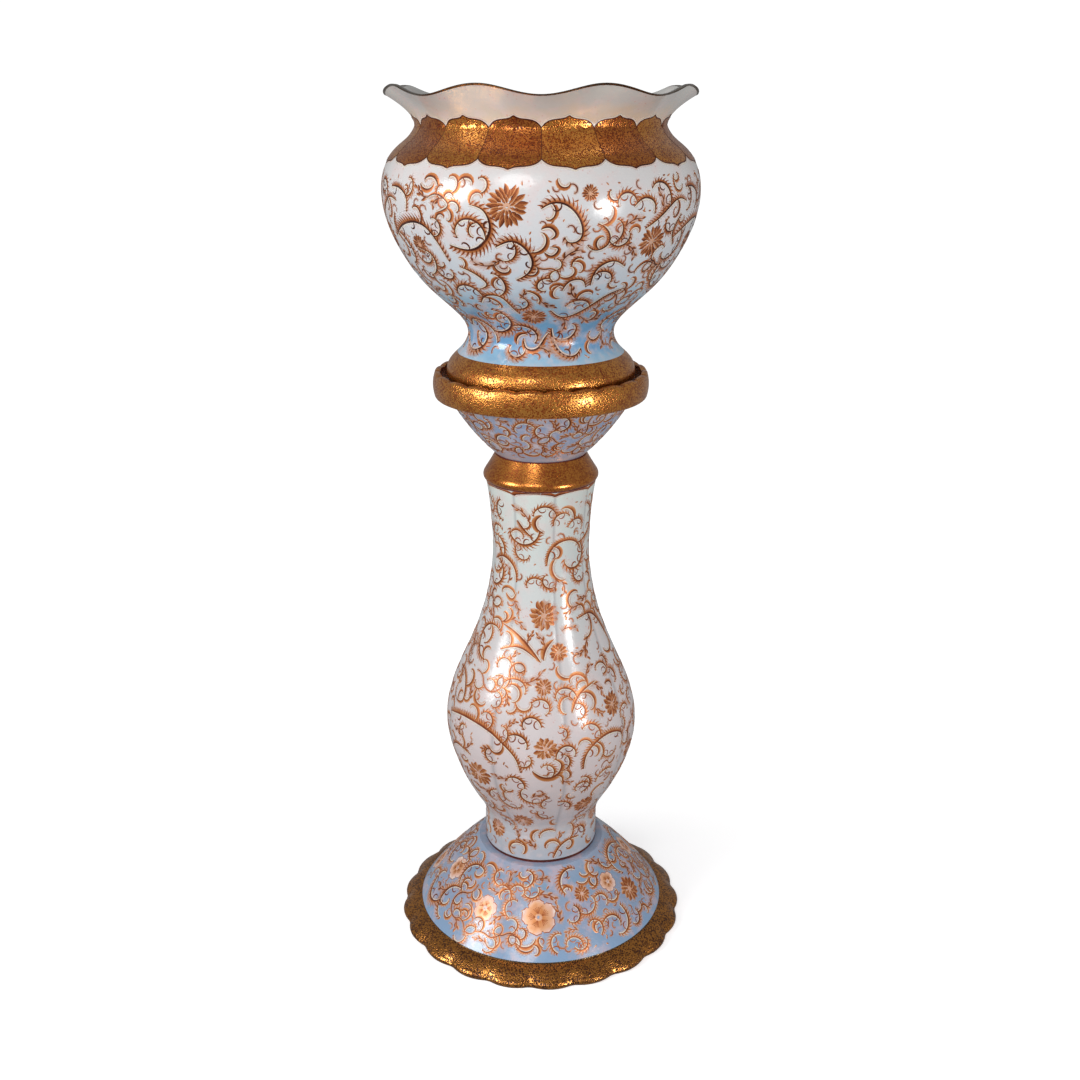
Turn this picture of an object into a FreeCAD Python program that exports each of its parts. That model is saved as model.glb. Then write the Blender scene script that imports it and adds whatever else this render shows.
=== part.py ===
import FreeCAD, Part
import math
import os

# A glazed ceramic jardiniere standing on its own tall stand. Millimetres, +Z up.
# The origin is on the floor, on the axis, under the middle of the foot.
# Angles are counted from -Y, the front, towards +X.

Vector = FreeCAD.Vector
AXIS = Vector(0, 0, 1)
ORIGIN = Vector(0, 0, 0)

# ---- foot of the stand -------------------------------------------------------------------
FLANGE_R = 178.0            # out to the crests of the scalloped edge
FLANGE_SCALLOPS = 21
FLANGE_SCALLOP_DEPTH = 4.0
FLANGE_NOTCH_ANGLE = -4.3   # degrees, one of the notches between two scallops
FLANGE_EDGE_H = 9.0         # height of the edge
FLANGE_EDGE_BULGE = 2.0     # how far the edge bulges
FLANGE_STEP_H = 19.5        # height where the flange meets the dome
FLANGE_CROWN = 1.6          # how far the flange's slope bulges
STEP_DEPTH = 1.6            # small step that parts the flange from the dome
DOME_R = 153.0              # dome where it leaves the flange
DOME_TOP_R = 78.0
DOME_BULGE = 3.0
FOOT_H = 103.0
FOOT_WALL = 11.0
FOOT_RECESS_R = 141.0       # open underside, at the floor
FOOT_SPIGOT_H = 7.0

# ---- stem --------------------------------------------------------------------------------
STEM_BASE_R = 69.5          # plain round ring at the bottom
STEM_BASE_H = 35.0
STEM_SHOULDER_H = 470.0     # from the stem's base to the shoulder that carries the collar
STEM_RING_TOP_R = 69.0
STEM_BELLY_R = 115.6
STEM_BELLY_SHARE = 0.3521   # height of the belly, as a share of the shoulder's
STEM_NECK_R = 56.4
STEM_NECK_SHARE = 0.8191
STEM_TOP_R = 63.5
STEM_LOBES = 8
STEM_LOBE_DEPTH = 2.4       # crest to groove, at the belly
STEM_GROOVE_ANGLE = 15.0    # degrees, one of the grooves between two lobes
STEM_WALL = 9.0
STEM_SPIGOT_R = 55.0
STEM_SPIGOT_H = 9.0

# ---- collar ------------------------------------------------------------------------------
COLLAR_H = 29.5
COLLAR_BASE_R = 63.5
COLLAR_ROLL_R = 66.2
COLLAR_ROLL_H = 5.0
COLLAR_SHOULDER_H = 10.5
COLLAR_SHOULDER_R = 64.0
COLLAR_TOP_R = 52.6
COLLAR_BORE_R = 45.0

# ---- dish --------------------------------------------------------------------------------
DISH_BASE_R = 52.0
DISH_BOWL_R = 103.5         # bowl where it meets the rim band
DISH_BOWL_H = 65.0
DISH_BOWL_BULGE = 3.2
DISH_BAND_R = 121.0
DISH_BAND_H = 29.0
DISH_BAND_BULGE = 2.0
DISH_LEDGE_RISE = 12.0      # ledge that the pot stands on, above the bowl's upper edge
DISH_INSIDE_R = 112.5       # inside of the rim band
DISH_LEDGE_INNER_R = 90.0
DISH_WALL = 9.0
DISH_FLOOR = 11.0
DISH_SCALLOPS = 24
DISH_SCALLOP_DEPTH = 2.2
DISH_CREST_ANGLE = 9.5
DISH_SPIGOT_H = 7.0

# ---- jardiniere pot ----------------------------------------------------------------------
POT_NECK_H = 274.0          # foot to neck
POT_FOOT_R = 104.8
POT_FOOT_H = 12.0
POT_FOOT_BASE_R = 101.0
POT_WAIST_R = 80.4
POT_WAIST_SHARE = 0.2153    # height of the waist, as a share of the neck's
POT_BELLY_R = 169.0
POT_BELLY_SHARE = 0.7409
POT_NECK_R = 131.5
POT_WALL = 7.0
POT_FLOOR_H = 31.0          # inside floor above the foot
POT_FLOOR = 8.0
POT_FOOT_RECESS_R = 91.0
RIM_H = 40.5                # neck to the crests of the rim
RIM_LOBES = 8
RIM_TROUGH_ANGLE = 0.0
RIM_R = 173.0               # mean radius of the flare at the height of the crests
RIM_WAVE = 10.3             # how far the flare swings in and out there
RIM_DROP = 10.0             # how far the edge drops from crest to trough
RIM_CURL = 0.571            # how early the flare opens, as a share of its height
RIM_WALL = 4.5
RIM_SECTIONS = 6            # level sections of the flare above the neck
RIM_OVERSHOOT = 1.15        # the flare is made this much taller, then its edge is cut wavy

# ---- what holds the stand together --------------------------------------------------------
BEDDING = 1.5               # thickness of each soft ring between two ceramic pieces
BEDDING_INSET = 0.8         # how far such a ring stays back from the edge
SPIGOT_GAP = 1.0            # clearance round each spigot
ROD_R = 5.0
ROD_HOLE_R = 6.0
THREAD_GAP = 0.05
NUT_ACROSS_FLATS = 17.0
NUT_H = 8.0
WASHER_R = 24.0
WASHER_H = 3.0
ROD_PROUD = 5.0             # rod past each nut

# ---- heights of the stack ------------------------------------------------------------------
STEM_Z = FOOT_H + BEDDING
COLLAR_Z = STEM_Z + STEM_SHOULDER_H + BEDDING
DISH_Z = COLLAR_Z + COLLAR_H + BEDDING
LEDGE_Z = DISH_Z + DISH_BOWL_H + DISH_LEDGE_RISE
POT_Z = LEDGE_Z + BEDDING
POT_WAIST_H = POT_WAIST_SHARE * POT_NECK_H
TOP_Z = POT_Z + POT_NECK_H + RIM_H

WAVE_POINTS_PER_LOBE = 8    # points that carry one lobe of a closed wavy curve
SECTION_STEP = 14.0         # distance between the level sections of a lobed wall
CUTTER_MARGIN = 40.0        # how far a cutting shape reaches past the wall that it cuts


def point(radius, height, angle=90.0):
    """A point at a radius, height and angle; the outlines lie at 90 degrees, in the XZ plane."""
    turn = math.radians(angle)
    return Vector(radius * math.sin(turn), -radius * math.cos(turn), height)


def line(start, end):
    return Part.LineSegment(start, end).toShape()


def spline(points):
    curve = Part.BSplineCurve()
    curve.interpolate(points)
    return curve.toShape()


def between(low, high, *shares):
    """Outline points that lie at the given shares of radius and height from low to high."""
    return [(low[0] + (high[0] - low[0]) * radius_share, low[1] + (high[1] - low[1]) * height_share)
            for radius_share, height_share in shares]


def bowed(start, end, bulge):
    """An arc from start to end that stands out from its chord, on the right of its travel."""
    chord = end - start
    out = Vector(chord.z, 0, -chord.x).normalize()
    middle = (start + end) * 0.5 + out * bulge
    return Part.Arc(start, middle, end).toShape()


def chain(*steps):
    """Join points with straight edges round the given edges, into one closed wire."""
    edges = []
    first = None
    last = None
    for step in steps:
        is_edge = isinstance(step, Part.Shape)
        start = step.firstVertex(True).Point if is_edge else step
        end = step.lastVertex(True).Point if is_edge else step
        if first is None:
            first = start
        elif not last.isEqual(start, 1e-6):
            edges.append(line(last, start))
        if is_edge:
            edges.append(step)
        last = end
    if not last.isEqual(first, 1e-6):
        edges.append(line(last, first))
    return Part.Wire(edges)


def turned(*steps):
    """Turn a closed outline about the axis."""
    return Part.Face(chain(*steps)).revolve(ORIGIN, AXIS, 360)


def drum(radius, bottom, top):
    return Part.makeCylinder(radius, top - bottom, point(0, bottom), AXIS)


def washer(outer_r, inner_r, bottom, thickness):
    return drum(outer_r, bottom, bottom + thickness).cut(drum(inner_r, bottom, bottom + thickness))


def inset(points, wall):
    """Points moved towards the axis by a wall, square to the spline through them."""
    curve = Part.BSplineCurve()
    curve.interpolate(points)
    moved = []
    for place in points:
        along = curve.tangent(curve.parameter(place))[0]
        moved.append(place + Vector(-along.z, 0, along.x) * wall)
    return moved


def wavy_wire(radius, swing, height, rise, count, crest_angle):
    """A closed curve that swings in radius and in height, count times round the axis."""
    total = count * WAVE_POINTS_PER_LOBE
    places = []
    for index in range(total):
        turn = 360.0 * index / total
        wave = math.cos(math.radians(count * (turn - crest_angle)))
        places.append(point(radius + swing * wave, height + rise * wave, turn))
    curve = Part.BSplineCurve()
    curve.interpolate(Points=places, PeriodicFlag=True)
    return Part.Wire(curve.toShape())


def even_stations(points):
    """Plain round sections (radius, no swing, height), evenly spaced along an outline."""
    curve = spline(points)
    count = max(len(points), round(curve.Length / SECTION_STEP))
    return [(place.x, 0.0, place.z) for place in curve.discretize(Number=count)]


def lobed_body(stations, count, crest_angle):
    """A solid through level sections, each given as (radius, swing, height)."""
    wires = [wavy_wire(radius, swing, height, 0, count, crest_angle)
             for radius, swing, height in stations]
    return Part.makeLoft(wires, True, False)


def wavy_lid(inner_r, outer_r, height, rise, count, crest_angle, thickness):
    """A thick ring whose underside rises and falls round the axis, for cutting a wavy edge."""
    inner = wavy_wire(inner_r, 0, height, rise, count, crest_angle)
    outer = wavy_wire(outer_r, 0, height, rise, count, crest_angle)
    underside = Part.makeRuledSurface(inner.Edges[0], outer.Edges[0])
    return underside.extrude(Vector(0, 0, thickness))


def scalloped_prism(radius, depth, count, notch_angle, bottom, top):
    """A prism with a ring of round scallops; their crests pass the radius, the notches lie inside it."""
    crest_r = radius + depth / 4
    pitch = 360.0 / count
    arcs = []
    for index in range(count):
        start = notch_angle + index * pitch
        arcs.append(Part.Arc(point(radius - depth, bottom, start),
                             point(crest_r, bottom, start + pitch / 2),
                             point(radius - depth, bottom, start + pitch)).toShape())
    return Part.Face(Part.Wire(arcs)).extrude(Vector(0, 0, top - bottom))


def foot():
    """Bell-shaped foot with a scalloped flange, open underneath, with a spigot for the stem."""
    edge_r = FLANGE_R - FLANGE_EDGE_BULGE
    web_z = FOOT_H - FOOT_WALL
    edge = Part.Arc(point(edge_r, 0), point(FLANGE_R, FLANGE_EDGE_H / 2),
                    point(edge_r, FLANGE_EDGE_H)).toShape()
    slope = bowed(point(edge_r, FLANGE_EDGE_H), point(DOME_R, FLANGE_STEP_H), FLANGE_CROWN)
    dome = bowed(point(DOME_R, FLANGE_STEP_H + STEP_DEPTH), point(DOME_TOP_R, FOOT_H), DOME_BULGE)
    body = turned(point(0, 0), edge, slope, dome, point(0, FOOT_H))
    prism = scalloped_prism(FLANGE_R, FLANGE_SCALLOP_DEPTH, FLANGE_SCALLOPS, FLANGE_NOTCH_ANGLE,
                            0, FOOT_H)
    inside_r = DOME_TOP_R - FOOT_WALL
    hollow_wall = bowed(point(FOOT_RECESS_R, 0), point(inside_r, web_z), DOME_BULGE)
    hollow = turned(point(0, 0), hollow_wall, point(0, web_z))
    spigot = drum(STEM_BASE_R - STEM_WALL - SPIGOT_GAP, FOOT_H, FOOT_H + FOOT_SPIGOT_H)
    rod_hole = drum(ROD_HOLE_R, 0, FOOT_H + FOOT_SPIGOT_H)
    return body.common(prism).cut(hollow).fuse(spigot).cut(rod_hole).removeSplitter()


def stem_outline():
    """Radius and height of the stem's outside, above its plain ring."""
    ring = (STEM_RING_TOP_R, STEM_BASE_H)
    belly = (STEM_BELLY_R, STEM_BELLY_SHARE * STEM_SHOULDER_H)
    neck = (STEM_NECK_R, STEM_NECK_SHARE * STEM_SHOULDER_H)
    top = (STEM_TOP_R, STEM_SHOULDER_H)
    return [ring,
            *between(ring, belly, (0.03, 0.08), (0.23, 0.23), (0.49, 0.39), (0.78, 0.62)),
            belly,
            *between(belly, neck, (0.16, 0.23), (0.47, 0.43), (0.77, 0.64), (0.93, 0.82)),
            neck,
            *between(neck, top, (0.18, 0.42), (0.52, 0.74)),
            top]


def stem():
    """Lobed baluster, a hollow tube from its plain ring to the spigot that enters the collar."""
    shoulder_z = STEM_Z + STEM_SHOULDER_H
    outline = [point(radius, STEM_Z + height) for radius, height in stem_outline()]
    stations = []
    for radius, _, height in even_stations(outline):
        swing = STEM_LOBE_DEPTH / 2 * radius / STEM_BELLY_R
        stations.append((radius - swing, swing, height))
    crest_angle = STEM_GROOVE_ANGLE + 180.0 / STEM_LOBES
    lobed = lobed_body(stations, STEM_LOBES, crest_angle)
    ring = drum(STEM_BASE_R, STEM_Z, STEM_Z + STEM_BASE_H)
    spigot = drum(STEM_SPIGOT_R, shoulder_z, shoulder_z + STEM_SPIGOT_H)
    wall = inset(outline, STEM_WALL)
    bottom_r = STEM_BASE_R - STEM_WALL
    top_r = STEM_SPIGOT_R - STEM_WALL
    hollow = turned(point(0, STEM_Z), point(bottom_r, STEM_Z), point(bottom_r, STEM_Z + STEM_BASE_H / 2),
                    spline(wall[1:-1]), point(top_r, shoulder_z - STEM_SPIGOT_H),
                    point(top_r, shoulder_z + STEM_SPIGOT_H), point(0, shoulder_z + STEM_SPIGOT_H))
    return lobed.fuse([ring, spigot]).cut(hollow).removeSplitter()


def collar():
    """Gilded ring that hides the joint between stem and dish."""
    base_z = COLLAR_Z
    lower = Part.Arc(point(COLLAR_BASE_R, base_z),
                     point(COLLAR_ROLL_R, base_z + COLLAR_ROLL_H),
                     point(COLLAR_SHOULDER_R, base_z + COLLAR_SHOULDER_H)).toShape()
    upper = point(COLLAR_TOP_R, base_z + COLLAR_H)
    skirt_r = STEM_SPIGOT_R + SPIGOT_GAP
    skirt_z = base_z - BEDDING + STEM_SPIGOT_H + SPIGOT_GAP
    return turned(point(skirt_r, base_z), lower, upper, point(COLLAR_BORE_R, base_z + COLLAR_H),
                  point(COLLAR_BORE_R, skirt_z), point(skirt_r, skirt_z))


def dish():
    """Bowl with a scalloped gilt rim and a ledge that carries the pot."""
    bowl_top = DISH_Z + DISH_BOWL_H
    rim_top = bowl_top + DISH_BAND_H
    floor_z = DISH_Z + DISH_FLOOR
    bowl = bowed(point(DISH_BASE_R, DISH_Z), point(DISH_BOWL_R, bowl_top), DISH_BOWL_BULGE)
    band = bowed(point(DISH_BAND_R - DISH_BAND_BULGE, bowl_top),
                 point(DISH_BAND_R - DISH_BAND_BULGE, rim_top), DISH_BAND_BULGE)
    body = turned(point(0, DISH_Z), bowl, band, point(0, rim_top))
    recess = drum(DISH_INSIDE_R, LEDGE_Z, rim_top)
    well = turned(point(0, floor_z), point(DISH_BASE_R - DISH_WALL, floor_z),
                  bowed(point(DISH_BASE_R - DISH_WALL / 2, floor_z + DISH_WALL / 2),
                        point(DISH_LEDGE_INNER_R, bowl_top), DISH_BOWL_BULGE),
                  point(DISH_LEDGE_INNER_R, LEDGE_Z), point(0, LEDGE_Z))
    spigot = drum(COLLAR_BORE_R - SPIGOT_GAP, DISH_Z - DISH_SPIGOT_H - BEDDING, DISH_Z)
    rod_hole = drum(ROD_HOLE_R, DISH_Z - DISH_SPIGOT_H - BEDDING, floor_z)
    lid = wavy_lid(DISH_LEDGE_INNER_R, DISH_BAND_R + CUTTER_MARGIN, rim_top - DISH_SCALLOP_DEPTH / 2,
                   DISH_SCALLOP_DEPTH / 2, DISH_SCALLOPS, DISH_CREST_ANGLE, DISH_BAND_H)
    return body.cut([recess, well]).fuse(spigot).cut([rod_hole, lid]).removeSplitter()


def pot_outline():
    """Outside of the pot from its foot to its neck."""
    foot_roll = (POT_FOOT_R, POT_FOOT_H)
    waist = (POT_WAIST_R, POT_WAIST_H)
    belly = (POT_BELLY_R, POT_BELLY_SHARE * POT_NECK_H)
    neck = (POT_NECK_R, POT_NECK_H)
    places = [(POT_FOOT_BASE_R, 0.0),
              foot_roll,
              *between(foot_roll, waist, (0.07, 0.27), (0.42, 0.49), (0.82, 0.71)),
              waist,
              *between(waist, belly, (0.18, 0.18), (0.54, 0.39), (0.78, 0.60)),
              belly,
              *between(belly, neck, (0.26, 0.58), (0.53, 0.73), (0.84, 0.87)),
              neck]
    return [point(radius, POT_Z + height) for radius, height in places]


def rim_stations(wall):
    """Sections of the flared rim, outside for no wall and inside for the wall's thickness."""
    stations = []
    for index in range(RIM_SECTIONS + 1):
        share = RIM_OVERSHOOT * index / RIM_SECTIONS
        opening = share ** (1.0 / RIM_CURL)
        slope = (RIM_R - POT_NECK_R) / RIM_H * share ** (1.0 / RIM_CURL - 1.0) / RIM_CURL
        radius = POT_NECK_R + (RIM_R - POT_NECK_R) * opening
        stations.append((radius - wall * math.hypot(1.0, slope), RIM_WAVE * opening,
                         POT_Z + POT_NECK_H + RIM_H * share))
    return stations


def jardiniere_pot():
    """Round-bellied pot with a waisted foot and a flared rim of eight lobes."""
    floor_z = POT_Z + POT_FLOOR_H
    waist_z = POT_Z + POT_WAIST_H
    inside_waist_r = POT_WAIST_R - POT_WALL
    outline = pot_outline()
    outside = lobed_body(even_stations(outline)[:-1] + rim_stations(0.0), RIM_LOBES, RIM_TROUGH_ANGLE)
    wall = [place for place in inset(outline, POT_WALL) if place.z > waist_z + POT_WALL]
    wall[-1] = point(POT_NECK_R - RIM_WALL, POT_Z + POT_NECK_H)
    cavity = even_stations([point(inside_waist_r - POT_FLOOR, floor_z),
                            point(inside_waist_r, (floor_z + waist_z) / 2), *wall])
    inside = lobed_body(cavity[:-1] + rim_stations(RIM_WALL), RIM_LOBES, RIM_TROUGH_ANGLE)
    recess = turned(point(0, POT_Z), point(POT_FOOT_RECESS_R, POT_Z),
                    point(inside_waist_r, floor_z - POT_FLOOR), point(0, floor_z - POT_FLOOR))
    lid = wavy_lid(POT_NECK_R - CUTTER_MARGIN, RIM_R + CUTTER_MARGIN, TOP_Z - RIM_DROP / 2, -RIM_DROP / 2,
                   RIM_LOBES, RIM_TROUGH_ANGLE, RIM_H)
    return outside.cut([inside, recess, lid]).removeSplitter()


def nut(bottom):
    """Hexagon nut on the rod."""
    corner_r = NUT_ACROSS_FLATS / 2 / math.cos(math.radians(30))
    corners = [point(corner_r, bottom, 60.0 * index) for index in range(6)]
    hexagon = Part.Face(Part.makePolygon(corners + corners[:1])).extrude(Vector(0, 0, NUT_H))
    return hexagon.cut(drum(ROD_R + THREAD_GAP, bottom, bottom + NUT_H))


def pieces():
    """Every solid of the object, by name."""
    web_z = FOOT_H - FOOT_WALL
    dish_floor_z = DISH_Z + DISH_FLOOR
    low_nut_z = web_z - WASHER_H - NUT_H
    high_nut_z = dish_floor_z + WASHER_H
    return {
        "foot": foot(),
        "stem": stem(),
        "collar": collar(),
        "dish": dish(),
        "jardiniere_pot": jardiniere_pot(),
        "foot_bedding_ring": washer(STEM_BASE_R - BEDDING_INSET, STEM_BASE_R - STEM_WALL,
                                    FOOT_H, BEDDING),
        "stem_bedding_ring": washer(COLLAR_BASE_R - BEDDING_INSET, STEM_SPIGOT_R + SPIGOT_GAP,
                                    COLLAR_Z - BEDDING, BEDDING),
        "collar_bedding_ring": washer(DISH_BASE_R - BEDDING_INSET, COLLAR_BORE_R,
                                      DISH_Z - BEDDING, BEDDING),
        "pot_bedding_ring": washer(POT_FOOT_BASE_R - BEDDING_INSET, POT_FOOT_RECESS_R,
                                   LEDGE_Z, BEDDING),
        "tie_rod": drum(ROD_R, low_nut_z - ROD_PROUD, high_nut_z + NUT_H + ROD_PROUD),
        "lower_nut": nut(low_nut_z),
        "lower_washer": washer(WASHER_R, ROD_HOLE_R, web_z - WASHER_H, WASHER_H),
        "upper_nut": nut(high_nut_z),
        "upper_washer": washer(WASHER_R, ROD_HOLE_R, dish_floor_z, WASHER_H),
    }


os.makedirs("parts", exist_ok=True)
for name, shape in pieces().items():
    shape.exportStep(os.path.join("parts", name + ".step"))
    box = shape.BoundBox
    print("%-20s solids %d valid %s volume %.0f z %.1f..%.1f r %.1f" % (
        name, len(shape.Solids), shape.isValid(), shape.Volume, box.ZMin, box.ZMax, box.XMax))
print("height", TOP_Z)
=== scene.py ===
"""Looks of a glazed jardiniere on its stand: turned bodies, gilding, painted scrolls and a pale studio."""

import logging
import math
import random
from collections.abc import Callable, Sequence
from dataclasses import dataclass, field
from enum import Enum, IntEnum
from itertools import pairwise

import bpy
import numpy as np
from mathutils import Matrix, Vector

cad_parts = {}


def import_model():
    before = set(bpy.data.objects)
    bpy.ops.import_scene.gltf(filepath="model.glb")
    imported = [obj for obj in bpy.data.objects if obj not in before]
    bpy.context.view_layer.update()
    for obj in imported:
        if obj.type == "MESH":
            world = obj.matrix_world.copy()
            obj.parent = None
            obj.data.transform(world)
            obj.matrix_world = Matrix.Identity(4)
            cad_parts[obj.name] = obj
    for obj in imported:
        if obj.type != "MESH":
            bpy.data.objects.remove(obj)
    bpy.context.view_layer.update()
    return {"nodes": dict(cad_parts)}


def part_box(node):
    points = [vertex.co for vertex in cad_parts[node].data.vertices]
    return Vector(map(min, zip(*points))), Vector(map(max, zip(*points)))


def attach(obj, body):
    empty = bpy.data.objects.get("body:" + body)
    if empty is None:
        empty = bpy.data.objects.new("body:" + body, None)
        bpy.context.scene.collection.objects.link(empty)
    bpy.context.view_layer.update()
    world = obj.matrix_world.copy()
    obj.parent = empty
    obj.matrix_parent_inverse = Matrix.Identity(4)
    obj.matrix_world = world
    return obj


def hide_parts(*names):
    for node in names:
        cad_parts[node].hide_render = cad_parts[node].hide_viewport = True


LOG = logging.getLogger("jardiniere")
MM = 0.001  # a millimetre, in the scene's metres
TINY = 1e-6  # points nearer to each other than this, in metres, are one
STRIP_MAP = "strip"  # UV map of the painted strips: their tone and their cover
GROOVE_SHADE = "seam"  # attribute of the stem's points: how much painted shade they get for lying in a groove between two lobes
Array = np.ndarray
Piece = bpy.types.Object
Material = bpy.types.Material
Socket = bpy.types.NodeSocket
Place = tuple[float, float]  # on an outline: radius and height, in metres
Point = tuple[float, float, float]
Colour = tuple[float, float, float, float]
Row = Array | Sequence[float]
Finishes = dict[str, Material]
Lobe = Callable[[Array, Array, Array], Array]
Push = Callable[[Array, Array, Array], tuple[Array, Array]]
Scroll = tuple[tuple[Place, ...], float, float, int, int]
Flower = tuple[float, float, float]


def shade(red: int, green: int, blue: int) -> Colour:
    """Turn a colour as seen on a screen, 0 to 255, into the linear one that shaders use."""
    linear = [((part / 255 + 0.055) / 1.055) ** 2.4 if part > 10 else part / 3294.6
              for part in (red, green, blue)]
    return linear[0], linear[1], linear[2], 1.0


# ---- shader boards -------------------------------------------------------------------------


class Amount:
    """A number that varies over a surface, with ordinary arithmetic."""

    def __init__(self, board: "Board", socket: Socket) -> None:
        """Wrap an output socket of a board."""
        self.board = board
        self.socket = socket

    def joined(self, operation: str, first: object, second: object) -> "Amount":
        """Put a Math node with this operation behind two numbers or links."""
        node = self.board.node("ShaderNodeMath", {"operation": operation}, {0: first, 1: second})
        return Amount(self.board, node.outputs[0])

    def __add__(self, other: object) -> "Amount":
        """Add."""
        return self.joined("ADD", self, other)

    def __radd__(self, other: object) -> "Amount":
        """Add to a plain number."""
        return self.joined("ADD", other, self)

    def __sub__(self, other: object) -> "Amount":
        """Subtract."""
        return self.joined("SUBTRACT", self, other)

    def __rsub__(self, other: object) -> "Amount":
        """Subtract from a plain number."""
        return self.joined("SUBTRACT", other, self)

    def __mul__(self, other: object) -> "Amount":
        """Multiply."""
        return self.joined("MULTIPLY", self, other)

    def __rmul__(self, other: object) -> "Amount":
        """Multiply a plain number."""
        return self.joined("MULTIPLY", other, self)

    def steep(self, low: float, high: float) -> "Amount":
        """Rise smoothly from 0 at low to 1 at high."""
        node = self.board.node("ShaderNodeMapRange", {"interpolation_type": "SMOOTHSTEP"},
                               {"Value": self, "From Min": low, "From Max": high})
        return Amount(self.board, node.outputs["Result"])


class Board:
    """The node board of one material, with its principled shader."""

    def __init__(self, name: str) -> None:
        """Start a material of this name."""
        self.material = bpy.data.materials.new(name)
        self.material.use_nodes = True
        self.tree = self.material.node_tree
        self.shader = self.tree.nodes["Principled BSDF"]

    def plug(self, socket: Socket, value: object) -> None:
        """Set a socket to a plain value, or link it.

        Args:
            socket: The input.
            value: A number, a tuple, an output socket or an Amount.
        """
        if isinstance(value, Amount):
            value = value.socket
        if isinstance(value, Socket):
            self.tree.links.new(value, socket)
        else:
            socket.default_value = value

    def node(self, kind: str, settings: dict[str, object] | None = None,
             sockets: dict[str | int, object] | None = None) -> bpy.types.Node:
        """Add a node.

        Args:
            kind: The node's type.
            settings: Its settings, set first; "stops" gives a colour ramp's (place, colour) pairs.
            sockets: The values or links of its inputs, by name or number.

        Returns:
            The node.
        """
        node = self.tree.nodes.new(kind)
        for name, value in (settings or {}).items():
            if name == "stops":
                row = node.color_ramp.elements
                while len(row) < len(value):
                    row.new(0.5)
                for element, (place, colour) in zip(row, value):
                    element.position = place
                    element.color = colour
            else:
                setattr(node, name, value)
        for name, value in (sockets or {}).items():
            self.plug(node.inputs[name], value)
        return node

    def where(self) -> Socket:
        """Give the place on the piece, in metres."""
        return self.node("ShaderNodeTexCoord").outputs["Object"]

    def height(self) -> Amount:
        """Give the height above the floor, in metres."""
        return Amount(self, self.node("ShaderNodeSeparateXYZ", None, {0: self.where()}).outputs["Z"])

    def noise(self, grain: float, detail: float = 2.0, roughness: float = 0.5) -> Amount:
        """Give a cloudy number, 0 to 1; grain is the clouds' size, in millimetres."""
        node = self.node("ShaderNodeTexNoise", None,
                         {"Vector": self.where(), "Scale": 1 / (grain * MM), "Detail": detail,
                          "Roughness": roughness})
        return Amount(self, node.outputs["Fac"])

    def dots(self, grain: float) -> Amount:
        """Give the distance to the nearest scattered spot; grain is their spacing, in millimetres."""
        node = self.node("ShaderNodeTexVoronoi", None, {"Vector": self.where(), "Scale": 1 / (grain * MM)})
        return Amount(self, node.outputs["Distance"])

    def mix(self, share: object, first: object, second: object) -> Socket:
        """Blend two colours; share is how much of the second there is, 0 to 1."""
        node = self.node("ShaderNodeMix", {"data_type": "RGBA"}, {0: share, 6: first, 7: second})
        return node.outputs[2]

    def ramp(self, value: object, *stops: tuple[float, Colour]) -> Socket:
        """Colour a number by a row of stops."""
        node = self.node("ShaderNodeValToRGB", {"stops": stops}, {"Fac": value})
        return node.outputs["Color"]

    def bump(self, height: Amount, rise: float) -> None:
        """Raise the surface by a height, 0 to 1, times a rise in millimetres."""
        node = self.node("ShaderNodeBump", None, {"Height": height, "Distance": rise * MM})
        self.plug(self.shader.inputs["Normal"], node.outputs["Normal"])

    def done(self, sockets: dict[str, object]) -> Material:
        """Set the shader's sockets and hand the material over.

        Args:
            sockets: Values or links for the principled shader.

        Returns:
            The material.
        """
        for name, value in sockets.items():
            self.plug(self.shader.inputs[name], value)
        return self.material


# ---- finishes ------------------------------------------------------------------------------


@dataclass(frozen=True)
class Glaze:
    """Glossy glaze whose colour changes with height, with soft clouds in it, and painted shade along grooves
    where a piece marks them.
    """

    name: str
    stops: tuple[tuple[float, Colour], ...]
    blush: Colour = shade(226, 205, 203)
    blush_share: float = 0.45
    speckle: float = 0.6
    drift: float = 0.03
    seam: Colour | None = None

    def make(self) -> Material:
        """Build the material."""
        board = Board(self.name)
        cloud = board.noise(34, 3, 0.6)
        low, high = self.stops[0][0], self.stops[-1][0]
        level = (board.height() + (cloud - 0.5) * self.drift - low) * (1 / (high - low))
        stops = [((place - low) / (high - low), colour) for place, colour in self.stops]
        ground = board.ramp(level, *stops)
        patches = board.noise(21, 4, 0.62).steep(0.46, 0.66)
        ground = board.mix(patches * self.blush_share, ground, self.blush)
        grain = board.noise(1.6, 2, 0.7).steep(0.3, 0.75)
        ground = board.mix(grain * 0.10, ground, shade(168, 176, 190))
        dots = 1 - board.dots(5.2).steep(0.10, 0.22)
        ground = board.mix(dots * patches * self.speckle, ground, shade(206, 128, 112))
        # Painted shade: along a piece's marked grooves the ground darkens towards this colour.
        if self.seam:
            line = board.node("ShaderNodeAttribute", {"attribute_name": GROOVE_SHADE}).outputs["Fac"]
            ground = board.mix(line, ground, self.seam)
        board.bump(board.noise(9, 2), 0.25)
        return board.done({"Base Color": ground, "Roughness": 0.16 + 0.10 * board.noise(18, 3),
                           "Coat Weight": 0.35, "Coat Roughness": 0.14})


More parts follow.
